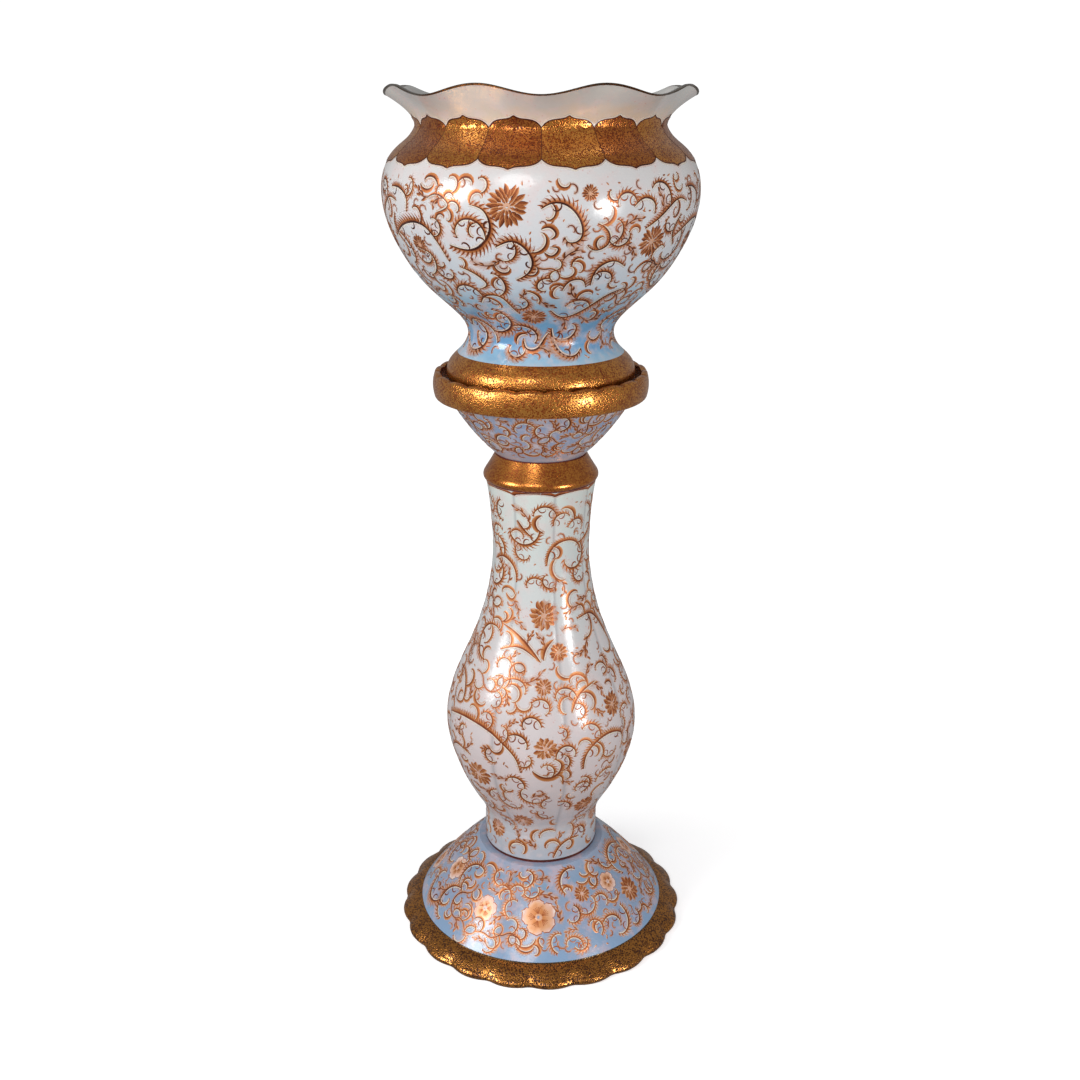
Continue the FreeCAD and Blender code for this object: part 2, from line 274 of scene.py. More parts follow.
@dataclass(frozen=True)
class Gilding:
    """Stippled brown gold: dark brown, rust and bright flecks, polished."""

    name: str
    dark: Colour
    body: Colour
    bright: Colour
    fleck: float = 1.7
    relief: float = 0.22

    def make(self) -> Material:
        """Build the material."""
        board = Board(self.name)
        stipple = board.dots(self.fleck).steep(0.10, 0.62)
        grain = board.noise(self.fleck * 1.6, 2, 0.6)
        patch = board.noise(14, 4, 0.65)
        level = stipple * 0.30 + grain * 0.36 + patch * 0.34
        colour = board.ramp(level, (0.34, self.dark), (0.43, self.body), (0.52, self.body),
                            (0.64, self.bright))
        polish = level.steep(0.40, 0.60)
        board.bump(stipple, self.relief)
        return board.done({"Base Color": colour, "Metallic": 0.58 + 0.32 * polish,
                           "Roughness": 0.36 - 0.12 * polish, "Coat Weight": 0.2,
                           "Coat Roughness": 0.22})


@dataclass(frozen=True)
class Enamel:
    """Paint of the scrolls; its tone and cover come with each strip."""

    name: str
    stops: tuple[tuple[float, Colour], ...]

    def make(self) -> Material:
        """Build the material."""
        board = Board(self.name)
        strip = board.node("ShaderNodeUVMap", {"uv_map": STRIP_MAP}).outputs["UV"]
        parts = board.node("ShaderNodeSeparateXYZ", None, {0: strip})
        tone = Amount(board, parts.outputs["X"])
        cover = Amount(board, parts.outputs["Y"])
        tone = tone + (board.noise(24, 2) - 0.46) * 0.42 + (board.noise(5, 2) - 0.5) * 0.14
        gilt = 1 - tone.steep(0.45, 0.85)
        return board.done({"Base Color": board.ramp(tone, *self.stops), "Metallic": gilt * 0.45,
                           "Roughness": 0.24 + 0.16 * gilt, "Alpha": cover})


@dataclass(frozen=True)
class Leather:
    """Thin dark red leather of the bedding rings."""

    name: str = "bedding_leather"

    def make(self) -> Material:
        """Build the material."""
        board = Board(self.name)
        grain = board.noise(1.2, 4, 0.6)
        colour = board.ramp(grain, (0.35, shade(58, 12, 14)), (0.65, shade(112, 34, 28)))
        board.bump(grain, 0.3)
        return board.done({"Base Color": colour, "Roughness": 0.45 + 0.25 * grain})


@dataclass(frozen=True)
class Steel:
    """Plain steel of the rod, nuts and washers."""

    name: str = "tie_steel"

    def make(self) -> Material:
        """Build the material."""
        board = Board(self.name)
        haze = board.noise(3, 5, 0.7)
        colour = board.ramp(haze, (0.3, shade(104, 100, 94)), (0.7, shade(176, 174, 168)))
        board.bump(board.noise(0.8, 3), 0.08)
        return board.done({"Base Color": colour, "Metallic": 0.85 + 0.15 * haze,
                           "Roughness": 0.24 + 0.3 * haze})


# Each colour of a glaze stands with the height above the floor, in metres, where it is purest.
POT_GLAZE = Glaze("pot_glaze", (
    (0.715, shade(190, 208, 222)), (0.728, shade(150, 190, 216)), (0.742, shade(98, 152, 196)),
    (0.768, shade(104, 158, 198)), (0.790, shade(154, 190, 214)), (0.812, shade(200, 210, 220)),
    (0.850, shade(212, 214, 218)), (0.930, shade(218, 214, 212)), (0.960, shade(226, 194, 162)),
    (0.970, shade(216, 198, 178)), (0.982, shade(208, 206, 202)), (1.000, shade(222, 222, 216))))
# The stem's glaze darkens along its grooves, as painted shade.
STEM_GLAZE = Glaze("stem_glaze", (
    (0.104, shade(176, 182, 194)), (0.140, shade(190, 190, 196)), (0.170, shade(206, 198, 200)),
    (0.250, shade(216, 202, 202)), (0.380, shade(212, 208, 208)), (0.480, shade(208, 214, 212)),
    (0.575, shade(216, 222, 216))), seam=shade(150, 148, 152))
DISH_GLAZE = Glaze("dish_glaze", (
    (0.600, shade(178, 184, 198)), (0.630, shade(156, 166, 194)), (0.655, shade(142, 158, 190)),
    (0.675, shade(150, 164, 190))), blush_share=0.6)
FOOT_GLAZE = Glaze("foot_glaze", (
    (0.020, shade(134, 164, 198)), (0.040, shade(136, 160, 190)), (0.065, shade(146, 158, 184)),
    (0.085, shade(126, 154, 182)), (0.104, shade(148, 162, 186))),
    blush=shade(196, 176, 186), blush_share=0.7)
OLD_GOLD = Gilding("old_gold", shade(86, 34, 8), shade(152, 72, 18), shade(224, 152, 70))
# Every second shoulder panel: a redder gold, also darker as painted shade for panels that catch less light.
RED_GOLD_AND_SHADE = Gilding("red_gold_and_shade", shade(76, 28, 8), shade(132, 56, 14), shade(204, 126, 56))
DARK_GOLD = Gilding("dark_gold", shade(40, 16, 6), shade(82, 38, 12), shade(190, 126, 56), fleck=2.0,
                    relief=0.30)
SMOOTH_GOLD = Gilding("smooth_gold", shade(96, 38, 12), shade(152, 74, 22), shade(210, 134, 58),
                      relief=0.05)
LIP_GOLD = Gilding("lip_gold", shade(34, 26, 20), shade(62, 48, 34), shade(110, 88, 60))
# The enamel's tones go from dark outlines over rust and blush to pale highlights.
ENAMEL = Enamel("scroll_enamel", (
    (0.00, shade(56, 22, 10)), (0.16, shade(108, 50, 22)), (0.34, shade(170, 88, 42)),
    (0.52, shade(204, 130, 74)), (0.66, shade(226, 170, 130)), (0.78, shade(230, 186, 168)),
    (0.88, shade(232, 214, 206)), (1.00, shade(246, 238, 218))))


# ---- outlines ------------------------------------------------------------------------------


def smooth_line(places: Sequence[Place], step: float) -> list[Place]:
    """Draw a smooth line through places, bent as a thin spring is.

    Args:
        places: (radius, height) places, in metres.
        step: Distance between the points that come back, in metres.

    Returns:
        Points along the line, the first and last place included.
    """
    ends = np.array(places, float)
    gaps = np.hypot(*np.diff(ends, axis=0).T)
    knots = np.concatenate([[0.0], np.cumsum(gaps)])
    count = len(knots)
    system = np.eye(count)
    pull = np.zeros((count, 2))
    for index in range(1, count - 1):
        before, after = gaps[index - 1], gaps[index]
        system[index, index - 1:index + 2] = before, 2 * (before + after), after
        turn = (ends[index + 1] - ends[index]) / after - (ends[index] - ends[index - 1]) / before
        pull[index] = 6 * turn
    bends = np.linalg.solve(system, pull)
    along = np.linspace(0, knots[-1], max(2, round(knots[-1] / step)) + 1)
    part = np.clip(np.searchsorted(knots, along, "right") - 1, 0, count - 2)
    gap = gaps[part][:, None]
    share = (along - knots[part])[:, None] / gap
    rest = 1 - share
    line = (rest * ends[part] + share * ends[part + 1]
            + ((rest ** 3 - rest) * bends[part] + (share ** 3 - share) * bends[part + 1]) * gap ** 2 / 6)
    return [(float(radius), float(height)) for radius, height in line]


def arc_line(start: Place, end: Place, bulge: float, step: float) -> list[Place]:
    """Draw an arc that stands out from its chord, on the right of its travel.

    Args:
        start: First place.
        end: Last place.
        bulge: How far the arc's middle stands out, in metres.
        step: Distance between the points that come back.

    Returns:
        Points along the arc, both ends included.
    """
    chord = np.array(end) - np.array(start)
    length = float(np.hypot(*chord))
    out = np.array([chord[1], -chord[0]]) / length
    count = max(2, round(length / step))
    half_turn = 2 * math.atan2(2 * bulge, length)
    radius = length / 2 / math.sin(half_turn)
    middle = (np.array(start) + np.array(end)) / 2 - out * radius * math.cos(half_turn)
    line = []
    for index in range(count + 1):
        turn = half_turn * (2 * index / count - 1)
        place = middle + radius * (out * math.cos(turn) + chord / length * math.sin(turn))
        line.append((float(place[0]), float(place[1])))
    return line


def between(low: Place, high: Place, *shares: Place) -> list[Place]:
    """Give places at the given shares of radius and height from low to high."""
    return [(low[0] + (high[0] - low[0]) * radius_share, low[1] + (high[1] - low[1]) * height_share)
            for radius_share, height_share in shares]


def around(radius: float, height: float, angle: float) -> Vector:
    """Give a point at a radius, height and angle; angles count in degrees from the front to the right."""
    turn = math.radians(angle)
    return Vector((radius * math.sin(turn), -radius * math.cos(turn), height))


class Zone(IntEnum):
    """Which of a turned piece's finishes covers a stretch of its wall."""

    MAIN = 0
    GILT = 1
    DARK = 2


class Profile:
    """The outline of a turned piece, with the finish of each stretch."""

    def __init__(self) -> None:
        """Start an empty outline."""
        self.places: list[Place] = []
        self.zones: list[Zone] = []

    def to(self, zone: Zone, places: Sequence[Place]) -> "Profile":
        """Go on to these places.

        Args:
            zone: Finish of the wall up to each place.
            places: (radius, height) places, in metres.

        Returns:
            The profile itself.
        """
        for place in places:
            if not self.places or math.dist(place, self.places[-1]) > TINY:
                self.places.append(place)
                self.zones.append(zone)
        return self


def pick(piece: Piece | None = None) -> None:
    """Select this piece alone and make it the active one; with no piece, select nothing."""
    bpy.ops.object.select_all(action="DESELECT")
    if piece:
        piece.select_set(True)
        bpy.context.view_layer.objects.active = piece


def turn_piece(name: str, profile: Profile, steps: int, finishes: Sequence[Material],
               start: float = 0.0) -> Piece:
    """Turn a profile about the axis, as on a wheel.

    Args:
        name: The piece's name.
        profile: Its outline; it closes on itself or on the axis.
        steps: Facets round the axis.
        finishes: Its materials, in the order of the zones.
        start: Angle of the first facet's edge, in degrees.

    Returns:
        The piece.
    """
    pick()
    bpy.ops.mesh.primitive_plane_add(size=MM)
    piece = bpy.context.object
    piece.name = piece.data.name = name
    corners = [around(radius, height, start) for radius, height in profile.places]
    bpy.ops.object.mode_set(mode="EDIT")
    bpy.ops.mesh.select_all(action="SELECT")
    bpy.ops.mesh.merge(type="CENTER")
    bpy.ops.transform.translate(value=corners[0])
    for before, after in pairwise(corners):
        bpy.ops.mesh.extrude_region_move(TRANSFORM_OT_translate={"value": after - before})
    bpy.ops.object.mode_set(mode="OBJECT")
    # Each point keeps its number along the profile through the spin, and so each face finds its zone.
    order = piece.data.attributes.new("order", "FLOAT", "POINT")
    order.data.foreach_set("value", np.arange(len(corners), dtype=np.float32))
    bpy.ops.object.mode_set(mode="EDIT")
    bpy.ops.mesh.select_all(action="SELECT")
    bpy.ops.mesh.spin(steps=steps, angle=math.tau, center=(0, 0, 0), axis=(0, 0, 1))
    bpy.ops.mesh.select_all(action="SELECT")
    bpy.ops.mesh.remove_doubles(threshold=TINY)
    bpy.ops.mesh.normals_make_consistent(inside=False)
    bpy.ops.object.mode_set(mode="OBJECT")
    mesh = piece.data
    order = np.zeros(len(mesh.vertices), np.float32)
    mesh.attributes["order"].data.foreach_get("value", order)
    for face in mesh.polygons:
        face.material_index = profile.zones[int(min(order[corner] for corner in face.vertices)) + 1]
    mesh.attributes.remove(mesh.attributes["order"])
    for finish in finishes:
        mesh.materials.append(finish)
    return piece


def new_piece(name: str, points: Array, faces: list[tuple[int, ...]]) -> Piece:
    """Make a piece of points and faces, and put it into the scene."""
    mesh = bpy.data.meshes.new(name)
    mesh.from_pydata(points.tolist(), [], faces)
    piece = bpy.data.objects.new(name, mesh)
    bpy.context.scene.collection.objects.link(piece)
    return piece


def points_of(piece: Piece) -> Array:
    """Give a piece's points, one row of x, y and z for each."""
    points = np.zeros(len(piece.data.vertices) * 3)
    piece.data.vertices.foreach_get("co", points)
    return points.reshape(-1, 3)


def angles_of(points: Array) -> Array:
    """Give the angle of each point, in degrees from the front to the right."""
    return np.degrees(np.arctan2(points[:, 0], -points[:, 1]))


def reshape(piece: Piece, push: Push) -> None:
    """Push a turned piece's points in and out, up and down.

    Args:
        piece: The piece.
        push: Takes angle in degrees, radius and height, and gives the new radius and height.
    """
    points = points_of(piece)
    radius = np.hypot(points[:, 0], points[:, 1])
    new_radius, height = push(angles_of(points), radius, points[:, 2].copy())
    grow = np.where(radius > TINY, new_radius / np.maximum(radius, TINY), 1.0)
    points[:, 0] *= grow
    points[:, 1] *= grow
    points[:, 2] = height
    piece.data.vertices.foreach_set("co", points.ravel())
    piece.data.update()


def smooth(piece: Piece, angle: float = 32.0) -> None:
    """Shade a piece smooth, with creases where it turns by more than an angle in degrees."""
    pick(piece)
    bpy.ops.object.shade_smooth_by_angle(angle=math.radians(angle))


# ---- walls and the strokes laid on them ------------------------------------------------------


class Wall:
    """An outer wall that carries ornament; places on it are an angle and a distance along it."""

    def __init__(self, places: Sequence[Place], lobe: Lobe) -> None:
        """Take the wall's line from bottom to top.

        Args:
            places: Close (radius, height) places.
            lobe: Takes angle in degrees, radius and height, and tells how far the wall lies inside.
        """
        self.line = np.array(places)
        self.run = np.concatenate([[0.0], np.cumsum(np.hypot(*np.diff(self.line, axis=0).T))])
        self.slope = np.gradient(self.line, self.run, axis=0)
        self.lobe = lobe

    def run_at(self, height: float) -> float:
        """Give the distance along the wall at a height."""
        return float(np.interp(height, self.line[:, 1], self.run))

    def radius_at(self, run: Array | float) -> Array:
        """Give the radius at a distance along the wall."""
        return np.interp(run, self.run, self.line[:, 0])

    def points(self, angle: Array, run: Array, lift: Array) -> Array:
        """Place points on or just off the wall.

        Args:
            angle: Angles in radians.
            run: Distances along the wall.
            lift: Distances off it.

        Returns:
            One row of x, y and z for each.
        """
        radius = self.radius_at(run)
        height = np.interp(run, self.run, self.line[:, 1])
        rise = np.interp(run, self.run, self.slope[:, 1])
        spread = np.interp(run, self.run, self.slope[:, 0])
        turn = 0.002
        sunk = self.lobe(np.degrees(angle), radius, height)
        side = (self.lobe(np.degrees(angle + turn), radius, height)
                - self.lobe(np.degrees(angle - turn), radius, height)) / (2 * turn * radius)
        size = np.sqrt(rise ** 2 + spread ** 2 + side ** 2)
        out = radius - sunk + lift * rise / size
        aside = lift * side / size
        return np.stack([out * np.sin(angle) + aside * np.cos(angle),
                         -out * np.cos(angle) + aside * np.sin(angle),
                         height - lift * spread / size], axis=1)


@dataclass(frozen=True)
class Spot:
    """Where a motif sits on a wall, how it is turned, its size, and whether it is mirrored."""

    angle: float
    run: float
    turn: float = 0.0
    size: float = 1.0
    flip: bool = False

    def carry(self, points: Array) -> Array:
        """Turn, size and mirror a motif's points, from millimetres to metres."""
        moved = points * (self.size * MM)
        if self.flip:
            moved = moved * np.array([-1.0, 1.0])
        cos, sin = math.cos(self.turn), math.sin(self.turn)
        return moved @ np.array([[cos, sin], [-sin, cos]])


class Layer(Enum):
    """How high a strip lies on the wall, at its edges and at its ridge, in millimetres."""

    HALO = (0.03, 0.06)
    BAND = (0.07, 0.16)
    LINE = (0.12, 0.24)
    TRIM = (0.40, 0.62)


HALO_TONES = (0.76, 0.72, 0.76)  # blush under a stroke
SOLID = (1, 1, 1)  # cover of a stroke that hides what lies under it
LEAST_REACH = 0.04  # millimetres that a strip reaches to each side even where it ends
SLANT = 0.3  # rise of a strip's ridge, in shares of its width
STROKE_STEP = 2.6  # usual distance between the points of a stroke, in millimetres
HAND_STEP = 2.2  # the same for a stroke that is drawn through listed places
BEND_FADE = 0.13  # share of a line over which a tighter bend at its end fades
TOOTH_POINTS = 5
# A flower's rings of petals: start and end in shares of its reach, and number in shares of its petals.
PETAL_RINGS = ((0.50, 1.06, 1.15), (0.34, 0.84, 0.9), (0.16, 0.58, 0.6))


def heading_of(way: Array) -> float:
    """Give a direction's heading, in degrees to the left of straight up."""
    return math.degrees(math.atan2(-way[0], way[1]))


def pointing(heading: float) -> Array:
    """Give the direction of a heading in degrees to the left of straight up."""
    return np.array([-math.sin(math.radians(heading)), math.cos(math.radians(heading))])


def walk(length: float, headings: Array) -> Array:
    """Draw a line of even steps from 0, 0, each on its own heading in radians."""
    moves = np.stack([-np.sin(headings), np.cos(headings)], axis=1) * (length / len(headings))
    return np.concatenate([[[0.0, 0.0]], np.cumsum(moves, axis=0)])


def bent(length: float, sweep: float, lead: float = 0.0, curl: float = 0.0, tail: float = 0.0,
         step: float = STROKE_STEP) -> Array:
    """Draw a line that bends as it goes.

    Args:
        length: Its length, in millimetres.
        sweep: How far it turns in all, in degrees to the left.
        lead: Its first heading, in degrees to the left of straight up.
        curl: How much tighter it bends at its end.
        tail: How much tighter it bends at its start.
        step: Distance between its points.

    Returns:
        The line's points, from 0, 0.
    """
    count = max(4, round(length / step))
    share = (np.arange(count) + 0.5) / count
    bend = 1 + curl * np.exp((share - 1) / BEND_FADE) + tail * np.exp(-share / BEND_FADE)
    return walk(length, math.radians(lead) + math.radians(sweep) * (np.cumsum(bend) - bend / 2) / bend.sum())


def winding(length: float, headings: Sequence[float]) -> Array:
    """Draw a line that turns from heading to heading.

    Args:
        length: Its length, in millimetres.
        headings: Headings at even distances, in degrees to the left of straight up.

    Returns:
        The line's points, from 0, 0.
    """
    count = max(6, round(length / STROKE_STEP))
    share = (np.arange(count) + 0.5) / count
    return walk(length, np.radians(np.interp(share, np.linspace(0, 1, len(headings)), headings)))


class Brush:
    """Paints motifs on one wall, each stroke a thin closed strip, and makes one mesh of them."""

    def __init__(self, wall: Wall, seed: int, fade: float = 0.0, zone: Place = (0.0, 1.0)) -> None:
        """Take the wall to paint.

        Args:
            wall: The wall.
            seed: Seed of the random choices.
            fade: How much paler than full brown the strokes are, 0 to 1.
            zone: Lowest and highest height that its random motifs reach, in metres.
        """
        self.wall = wall
        self.chance = random.Random(seed)
        self.fade = fade
        self.limits = [wall.run_at(height) for height in zone]
        self.rows: list[Array] = []
        self.faces: list[tuple[int, ...]] = []
        self.count = 0
        self.room = np.zeros((0, 4))
        self.buds: list[tuple[float, float, float]] = []

    def strip(self, spot: Spot, spine: Array, outer: Array | float, inner: Array | float,
              tone: Row, cover: Row, layer: Layer, side: int = 1) -> None:
        """Lay one strip.

        Args:
            spot: The motif's spot.
            spine: The strip's line, in the motif's own millimetres.
            outer: How far it reaches on its outer side, at each point.
            inner: How far it reaches on its inner side.
            tone: Tones at the outer edge, the ridge and the inner edge, one row or one for each point.
            cover: Cover at the same places.
            layer: How high it lies.
            side: 1 where the outer side is on the left of the line's travel, else -1.
        """
        line = spot.carry(spine)
        if spot.flip:
            side = -side
        along = np.gradient(line, axis=0)
        along /= np.maximum(np.hypot(along[:, 0], along[:, 1]), TINY * MM)[:, None]
        left = np.stack([-along[:, 1], along[:, 0]], axis=1)
        total = len(line)
        reach = [np.maximum(np.broadcast_to(part, total), LEAST_REACH) * spot.size * MM
                 for part in (outer, inner)]
        tone = np.broadcast_to(tone, (total, 3))
        cover = np.broadcast_to(cover, (total, 3))
        if side < 0:
            reach.reverse()
            tone, cover = tone[:, ::-1], cover[:, ::-1]
        edges = [line + left * reach[0][:, None], None, line - left * reach[1][:, None]]
        edges[1] = (edges[0] + edges[2]) / 2
        low, high = layer.value
        ridge = low + np.minimum(high - low, (reach[0] + reach[1]) / MM * SLANT)
        for column, lift in enumerate((low, ridge, low)):
            run = spot.run + edges[column][:, 1]
            angle = spot.angle + edges[column][:, 0] / self.wall.radius_at(run)
            lifts = np.broadcast_to(lift, total) * MM
            paled = self.fade + (1 - self.fade) * tone[:, column]
            self.rows.append(np.stack([angle, run, lifts, paled, cover[:, column]], axis=1))
        first = self.count
        second, third = first + total, first + 2 * total
        for index in range(total - 1):
            after = index + 1
            self.faces.append((first + index, second + index, second + after, first + after))
            self.faces.append((second + index, third + index, third + after, second + after))
            self.faces.append((first + index, first + after, third + after, third + index))
        self.faces.append((first, third, second))
        self.faces.append((first + total - 1, second + total - 1, third + total - 1))
        self.count += 3 * total

    def along(self, spot: Spot, spine: Array) -> tuple[Array, Array]:
        """Find where a motif's line runs on the wall.

        Args:
            spot: The motif's spot.
            spine: The line, in the motif's own millimetres.

        Returns:
            Its points on the wall, and their distances along it.
        """
        line = spot.carry(spine)
        run = spot.run + line[:, 1]
        angle = spot.angle + line[:, 0] / self.wall.radius_at(run)
        return self.wall.points(angle, run, np.zeros(len(run))), run

    def keep(self, spot: Spot, spine: Array, reach: float) -> None:
        """Note the room that a line takes, and where new growth may branch off it."""
        points, _ = self.along(spot, spine[::2])
        room = np.full(len(points), reach * spot.size * MM)
        self.room = np.concatenate([self.room, np.column_stack([points, room])])
        line = spot.carry(spine)
        for index in range(2, len(line) - 1, 3):
            run = spot.run + float(line[index, 1])
            ahead = line[index + 1] - line[index - 1]
            self.buds.append((spot.angle + float(line[index, 0] / self.wall.radius_at(run)), run,
                              math.atan2(-ahead[0], ahead[1])))

    def fits(self, spot: Spot, spine: Array, reach: float, root: float = 0.0) -> bool:
        """Tell whether a line has room on both its sides.

        Args:
            spot: The motif's spot.
            spine: The line, in the motif's own millimetres.
            reach: Room on each side, in millimetres.
            root: Share of the line, at its start, that may touch what is there.

        Returns:
            True where nothing is in its way and it stays within the limits.
        """
        points, run = self.along(spot, spine[::2])
        share = np.linspace(0, 1, len(points))
        reach = reach * spot.size * MM
        if run.min() < self.limits[0] + reach * 0.7 or run.max() > self.limits[1] - reach * 0.7:
            return False
        gaps = np.linalg.norm(points[:, None, :] - self.room[None, :, :3], axis=2) - self.room[None, :, 3]
        need = reach * (np.clip((share - root) * 3, 0.2, 1) if root else 1)
        return bool((gaps > np.broadcast_to(need, len(share))[:, None])[share >= root].all())

    def line(self, spot: Spot, spine: Array, weight: float, tone: float, side: int = 1) -> None:
        """Lay a dark line that swells and thins."""
        swell = np.sin(np.pi * np.linspace(0.08, 0.97, len(spine))) ** 0.7
        self.strip(spot, spine, weight * swell, weight * swell, [tone + 0.16, tone, tone],
                   [1, 1, 1], Layer.LINE, side)

    def halo(self, spot: Spot, spine: Array, outer: Array | float, inner: Array | float,
             cover: float = 0.8, side: int = 1) -> None:
        """Lay a blush under a line; it fades out towards both its edges."""
        self.strip(spot, spine, outer, inner, HALO_TONES, [0, cover, 0], Layer.HALO, side)

    def plume(self, spot: Spot, spine: Array, weight: float, teeth: float, side: int, hooks: int,
              tone: float) -> None:
        """Paint a feathered scroll.

        Args:
            spot: Its spot.
            spine: Its line, in millimetres.
            weight: Its boldness, 1 for a middling one.
            teeth: Length of the comb of teeth on its outer side.
            side: 1 where the outer side is on the left of its travel, else -1.
            hooks: How many small hooks grow inside it.
            tone: Tone of its dark line.
        """
        share = np.linspace(0, 1, len(spine))
        swell = np.sin(np.pi * share ** 0.8) ** 0.65
        self.halo(spot, spine[::2], (teeth + 3.0) * (0.35 + 0.65 * swell[::2]), 2.6 + 1.6 * swell[::2],
                  side=side)
        broad = 2.2 if teeth > 0 else 3.2
        self.strip(spot, spine, broad * weight * swell, 0.1, [0.56, 0.40, 0.24], SOLID, Layer.BAND, side)
        self.line(spot, spine, 0.78 * weight, tone, side)
        ahead = np.gradient(spine, axis=0)
        length = np.hypot(ahead[:, 0], ahead[:, 1])
        ahead /= length[:, None]
        out = np.stack([-ahead[:, 1], ahead[:, 0]], axis=1) * side
        light = spine - out * (1.05 * weight * swell + 0.35)[:, None]
        self.strip(spot, light, 0.45, 0.75, [0.92, 0.99, 0.95], [0.7, 0.95, 0], Layer.BAND, side)
        self.keep(spot, spine, 1.2 * weight + teeth * 0.5)
        if teeth > 0:
            number = max(3, int(length.sum() / (1.5 + 0.34 * teeth)))
            for index in range(number):
                place = (index + 0.6) / number
                size = teeth * (0.50 + 0.50 * math.sin(math.pi * place ** 0.8))
                self.tooth(spot, self.at(spine, place), self.at(out, place), self.at(ahead, place),
                           size, side, weight)
        for index in range(hooks):
            place = 0.24 + 0.46 * index / max(1, hooks - 1)
            way = self.at(ahead, place) * 0.6 - self.at(out, place) * 0.8
            hook = bent(15 - 1.5 * index, -210 * side, heading_of(way), 2.2, step=1.2)
            self.line(spot, hook + self.at(spine, place), 0.62 * weight, tone + 0.05, side)

    @staticmethod
    def at(rows: Array, share: float) -> Array:
        """Give a point, or a direction, at a share of a line."""
        place = share * (len(rows) - 1)
        low = min(int(place), len(rows) - 2)
        return rows[low] + (rows[low + 1] - rows[low]) * (place - low)

    def tooth(self, spot: Spot, base: Array, out: Array, ahead: Array, length: float,
              side: int, weight: float) -> None:
        """Lay one tooth of a comb.

        Args:
            spot: The scroll's spot.
            base: Where the tooth grows from the scroll's line.
            out: Direction away from the line.
            ahead: Direction along the line.
            length: Its length, in millimetres.
            side: 1 where the outer side is on the left of the line's travel, else -1.
            weight: The scroll's boldness.
        """
        share = np.linspace(0, 1, TOOTH_POINTS)[:, None]
        spine = base + out * (0.2 + share * length) - ahead * (share ** 1.8 * length * 0.8)
        width = 0.84 * weight * (1 - 0.85 * share[:, 0] ** 1.4)
        tone = np.linspace(0.06, 0.36, TOOTH_POINTS)[:, None] + np.array([0.18, 0.0, 0.05])
        self.strip(spot, spine, width, width, tone, SOLID, Layer.BAND, side)

    def leaf(self, spot: Spot, spine: Array, width: float, tone: float) -> None:
        """Paint a leaf: dark on one edge, pale on the other, with a dark vein."""
        share = np.linspace(0, 1, len(spine))
        swell = np.sin(np.pi * share ** 0.75) ** 0.8
        self.strip(spot, spine, width * swell, width * swell, [tone - 0.16, tone + 0.10, tone + 0.40],
                   [1, 1, 0.9], Layer.BAND)
        self.strip(spot, spine[:-1], 0.22, 0.22, [tone - 0.25] * 3, SOLID, Layer.LINE)

    def sprig(self, spot: Spot, spine: Array, leaves: int, size: float) -> None:
        """Paint a twig with leaves on both sides.

        Args:
            spot: Its spot.
            spine: Its line, in millimetres.
            leaves: How many leaves.
            size: Length of a leaf.
        """
        self.halo(spot, spine, size * 0.8, size * 0.8, 0.7)
        self.line(spot, spine, 0.6, 0.10)
        self.keep(spot, spine, size * 0.55)
        ahead = np.gradient(spine, axis=0)
        for index in range(leaves):
            place = (index + 0.7) / leaves
            turn = 1 if index % 2 else -1
            lead = heading_of(self.at(ahead, place)) + 52 * turn
            blade = bent(size * (1.1 - 0.4 * place), -50 * turn, lead, step=1.6)
            self.leaf(spot, blade + self.at(spine, place), size * 0.21, self.chance.uniform(0.18, 0.36))

    def curl(self, spot: Spot, spine: Array, tone: float) -> None:
        """Paint a small open spiral."""
        self.strip(spot, spine, 2.4, 2.2, [0.74] * 3, [0, 0.8, 0], Layer.HALO)
        self.line(spot, spine, 0.70, tone)
        self.keep(spot, spine, 1.5)

    def vine(self, spot: Spot, spine: Array, branches: int, weight: float, teeth: float) -> None:
        """Paint a long winding stalk with scrolls growing from both its sides.

        Args:
            spot: Its spot.
            spine: Its line, in millimetres.
            branches: How many scrolls.
            weight: Their boldness.
            teeth: Length of their teeth.
        """
        self.halo(spot, spine, 3.2, 3.2)
        self.strip(spot, spine, 1.3, 0.2, [0.6, 0.4, 0.2], SOLID, Layer.BAND)
        self.line(spot, spine, 0.80 * weight, 0.08)
        self.keep(spot, spine, 1.6)
        ahead = np.gradient(spine, axis=0)
        for index in range(branches):
            place = 0.12 + 0.74 * index / max(1, branches - 1)
            turn = 1 if index % 2 else -1
            lead = heading_of(self.at(ahead, place)) + 34 * turn
            length = self.chance.uniform(24, 36) * (1.1 - 0.35 * place)
            branch = bent(length, 225 * turn, lead, 1.3) + self.at(spine, place)
            self.plume(spot, branch, weight * 0.85, teeth if index % 3 else 0.0, -turn, 0, 0.06)

    def flower(self, spot: Spot, reach: float, petals: int) -> None:
        """Paint a many-petalled flower seen from the front, with a coiled heart.

        Args:
            spot: Its spot.
            reach: Its radius, in millimetres.
            petals: How many petals its outer rings have, about.
        """
        tone = 0.26
        ring = bent(math.tau * reach * 0.45, 360, -90)
        self.strip(spot, ring - ring.mean(axis=0), reach * 0.72, reach * 0.5, [0.74, 0.70, 0.74],
                   [0, 0.85, 0.85], Layer.HALO, -1)
        swirl = self.chance.choice((-34, 34))
        for rank, (start, end, share) in enumerate(PETAL_RINGS):
            number = round(petals * share)
            width = reach * 0.74 * math.pi / petals * (1.0 - 0.14 * rank)
            for index in range(number):
                lead = 360.0 * (index + rank / 2) / number + self.chance.uniform(-5, 5)
                length = reach * (end - start) * self.chance.uniform(0.80, 1.10)
                blade = bent(length, swirl + self.chance.uniform(-16, 16), lead - swirl / 2, step=1.9)
                self.leaf(spot, blade + pointing(lead) * reach * start, width,
                          tone + 0.05 * rank + self.chance.uniform(-0.10, 0.08))
        self.flower_heart(spot, bent(reach * 1.1, 560, 0, 1.6, step=0.9))
        self.keep(spot, np.zeros((2, 2)), reach)

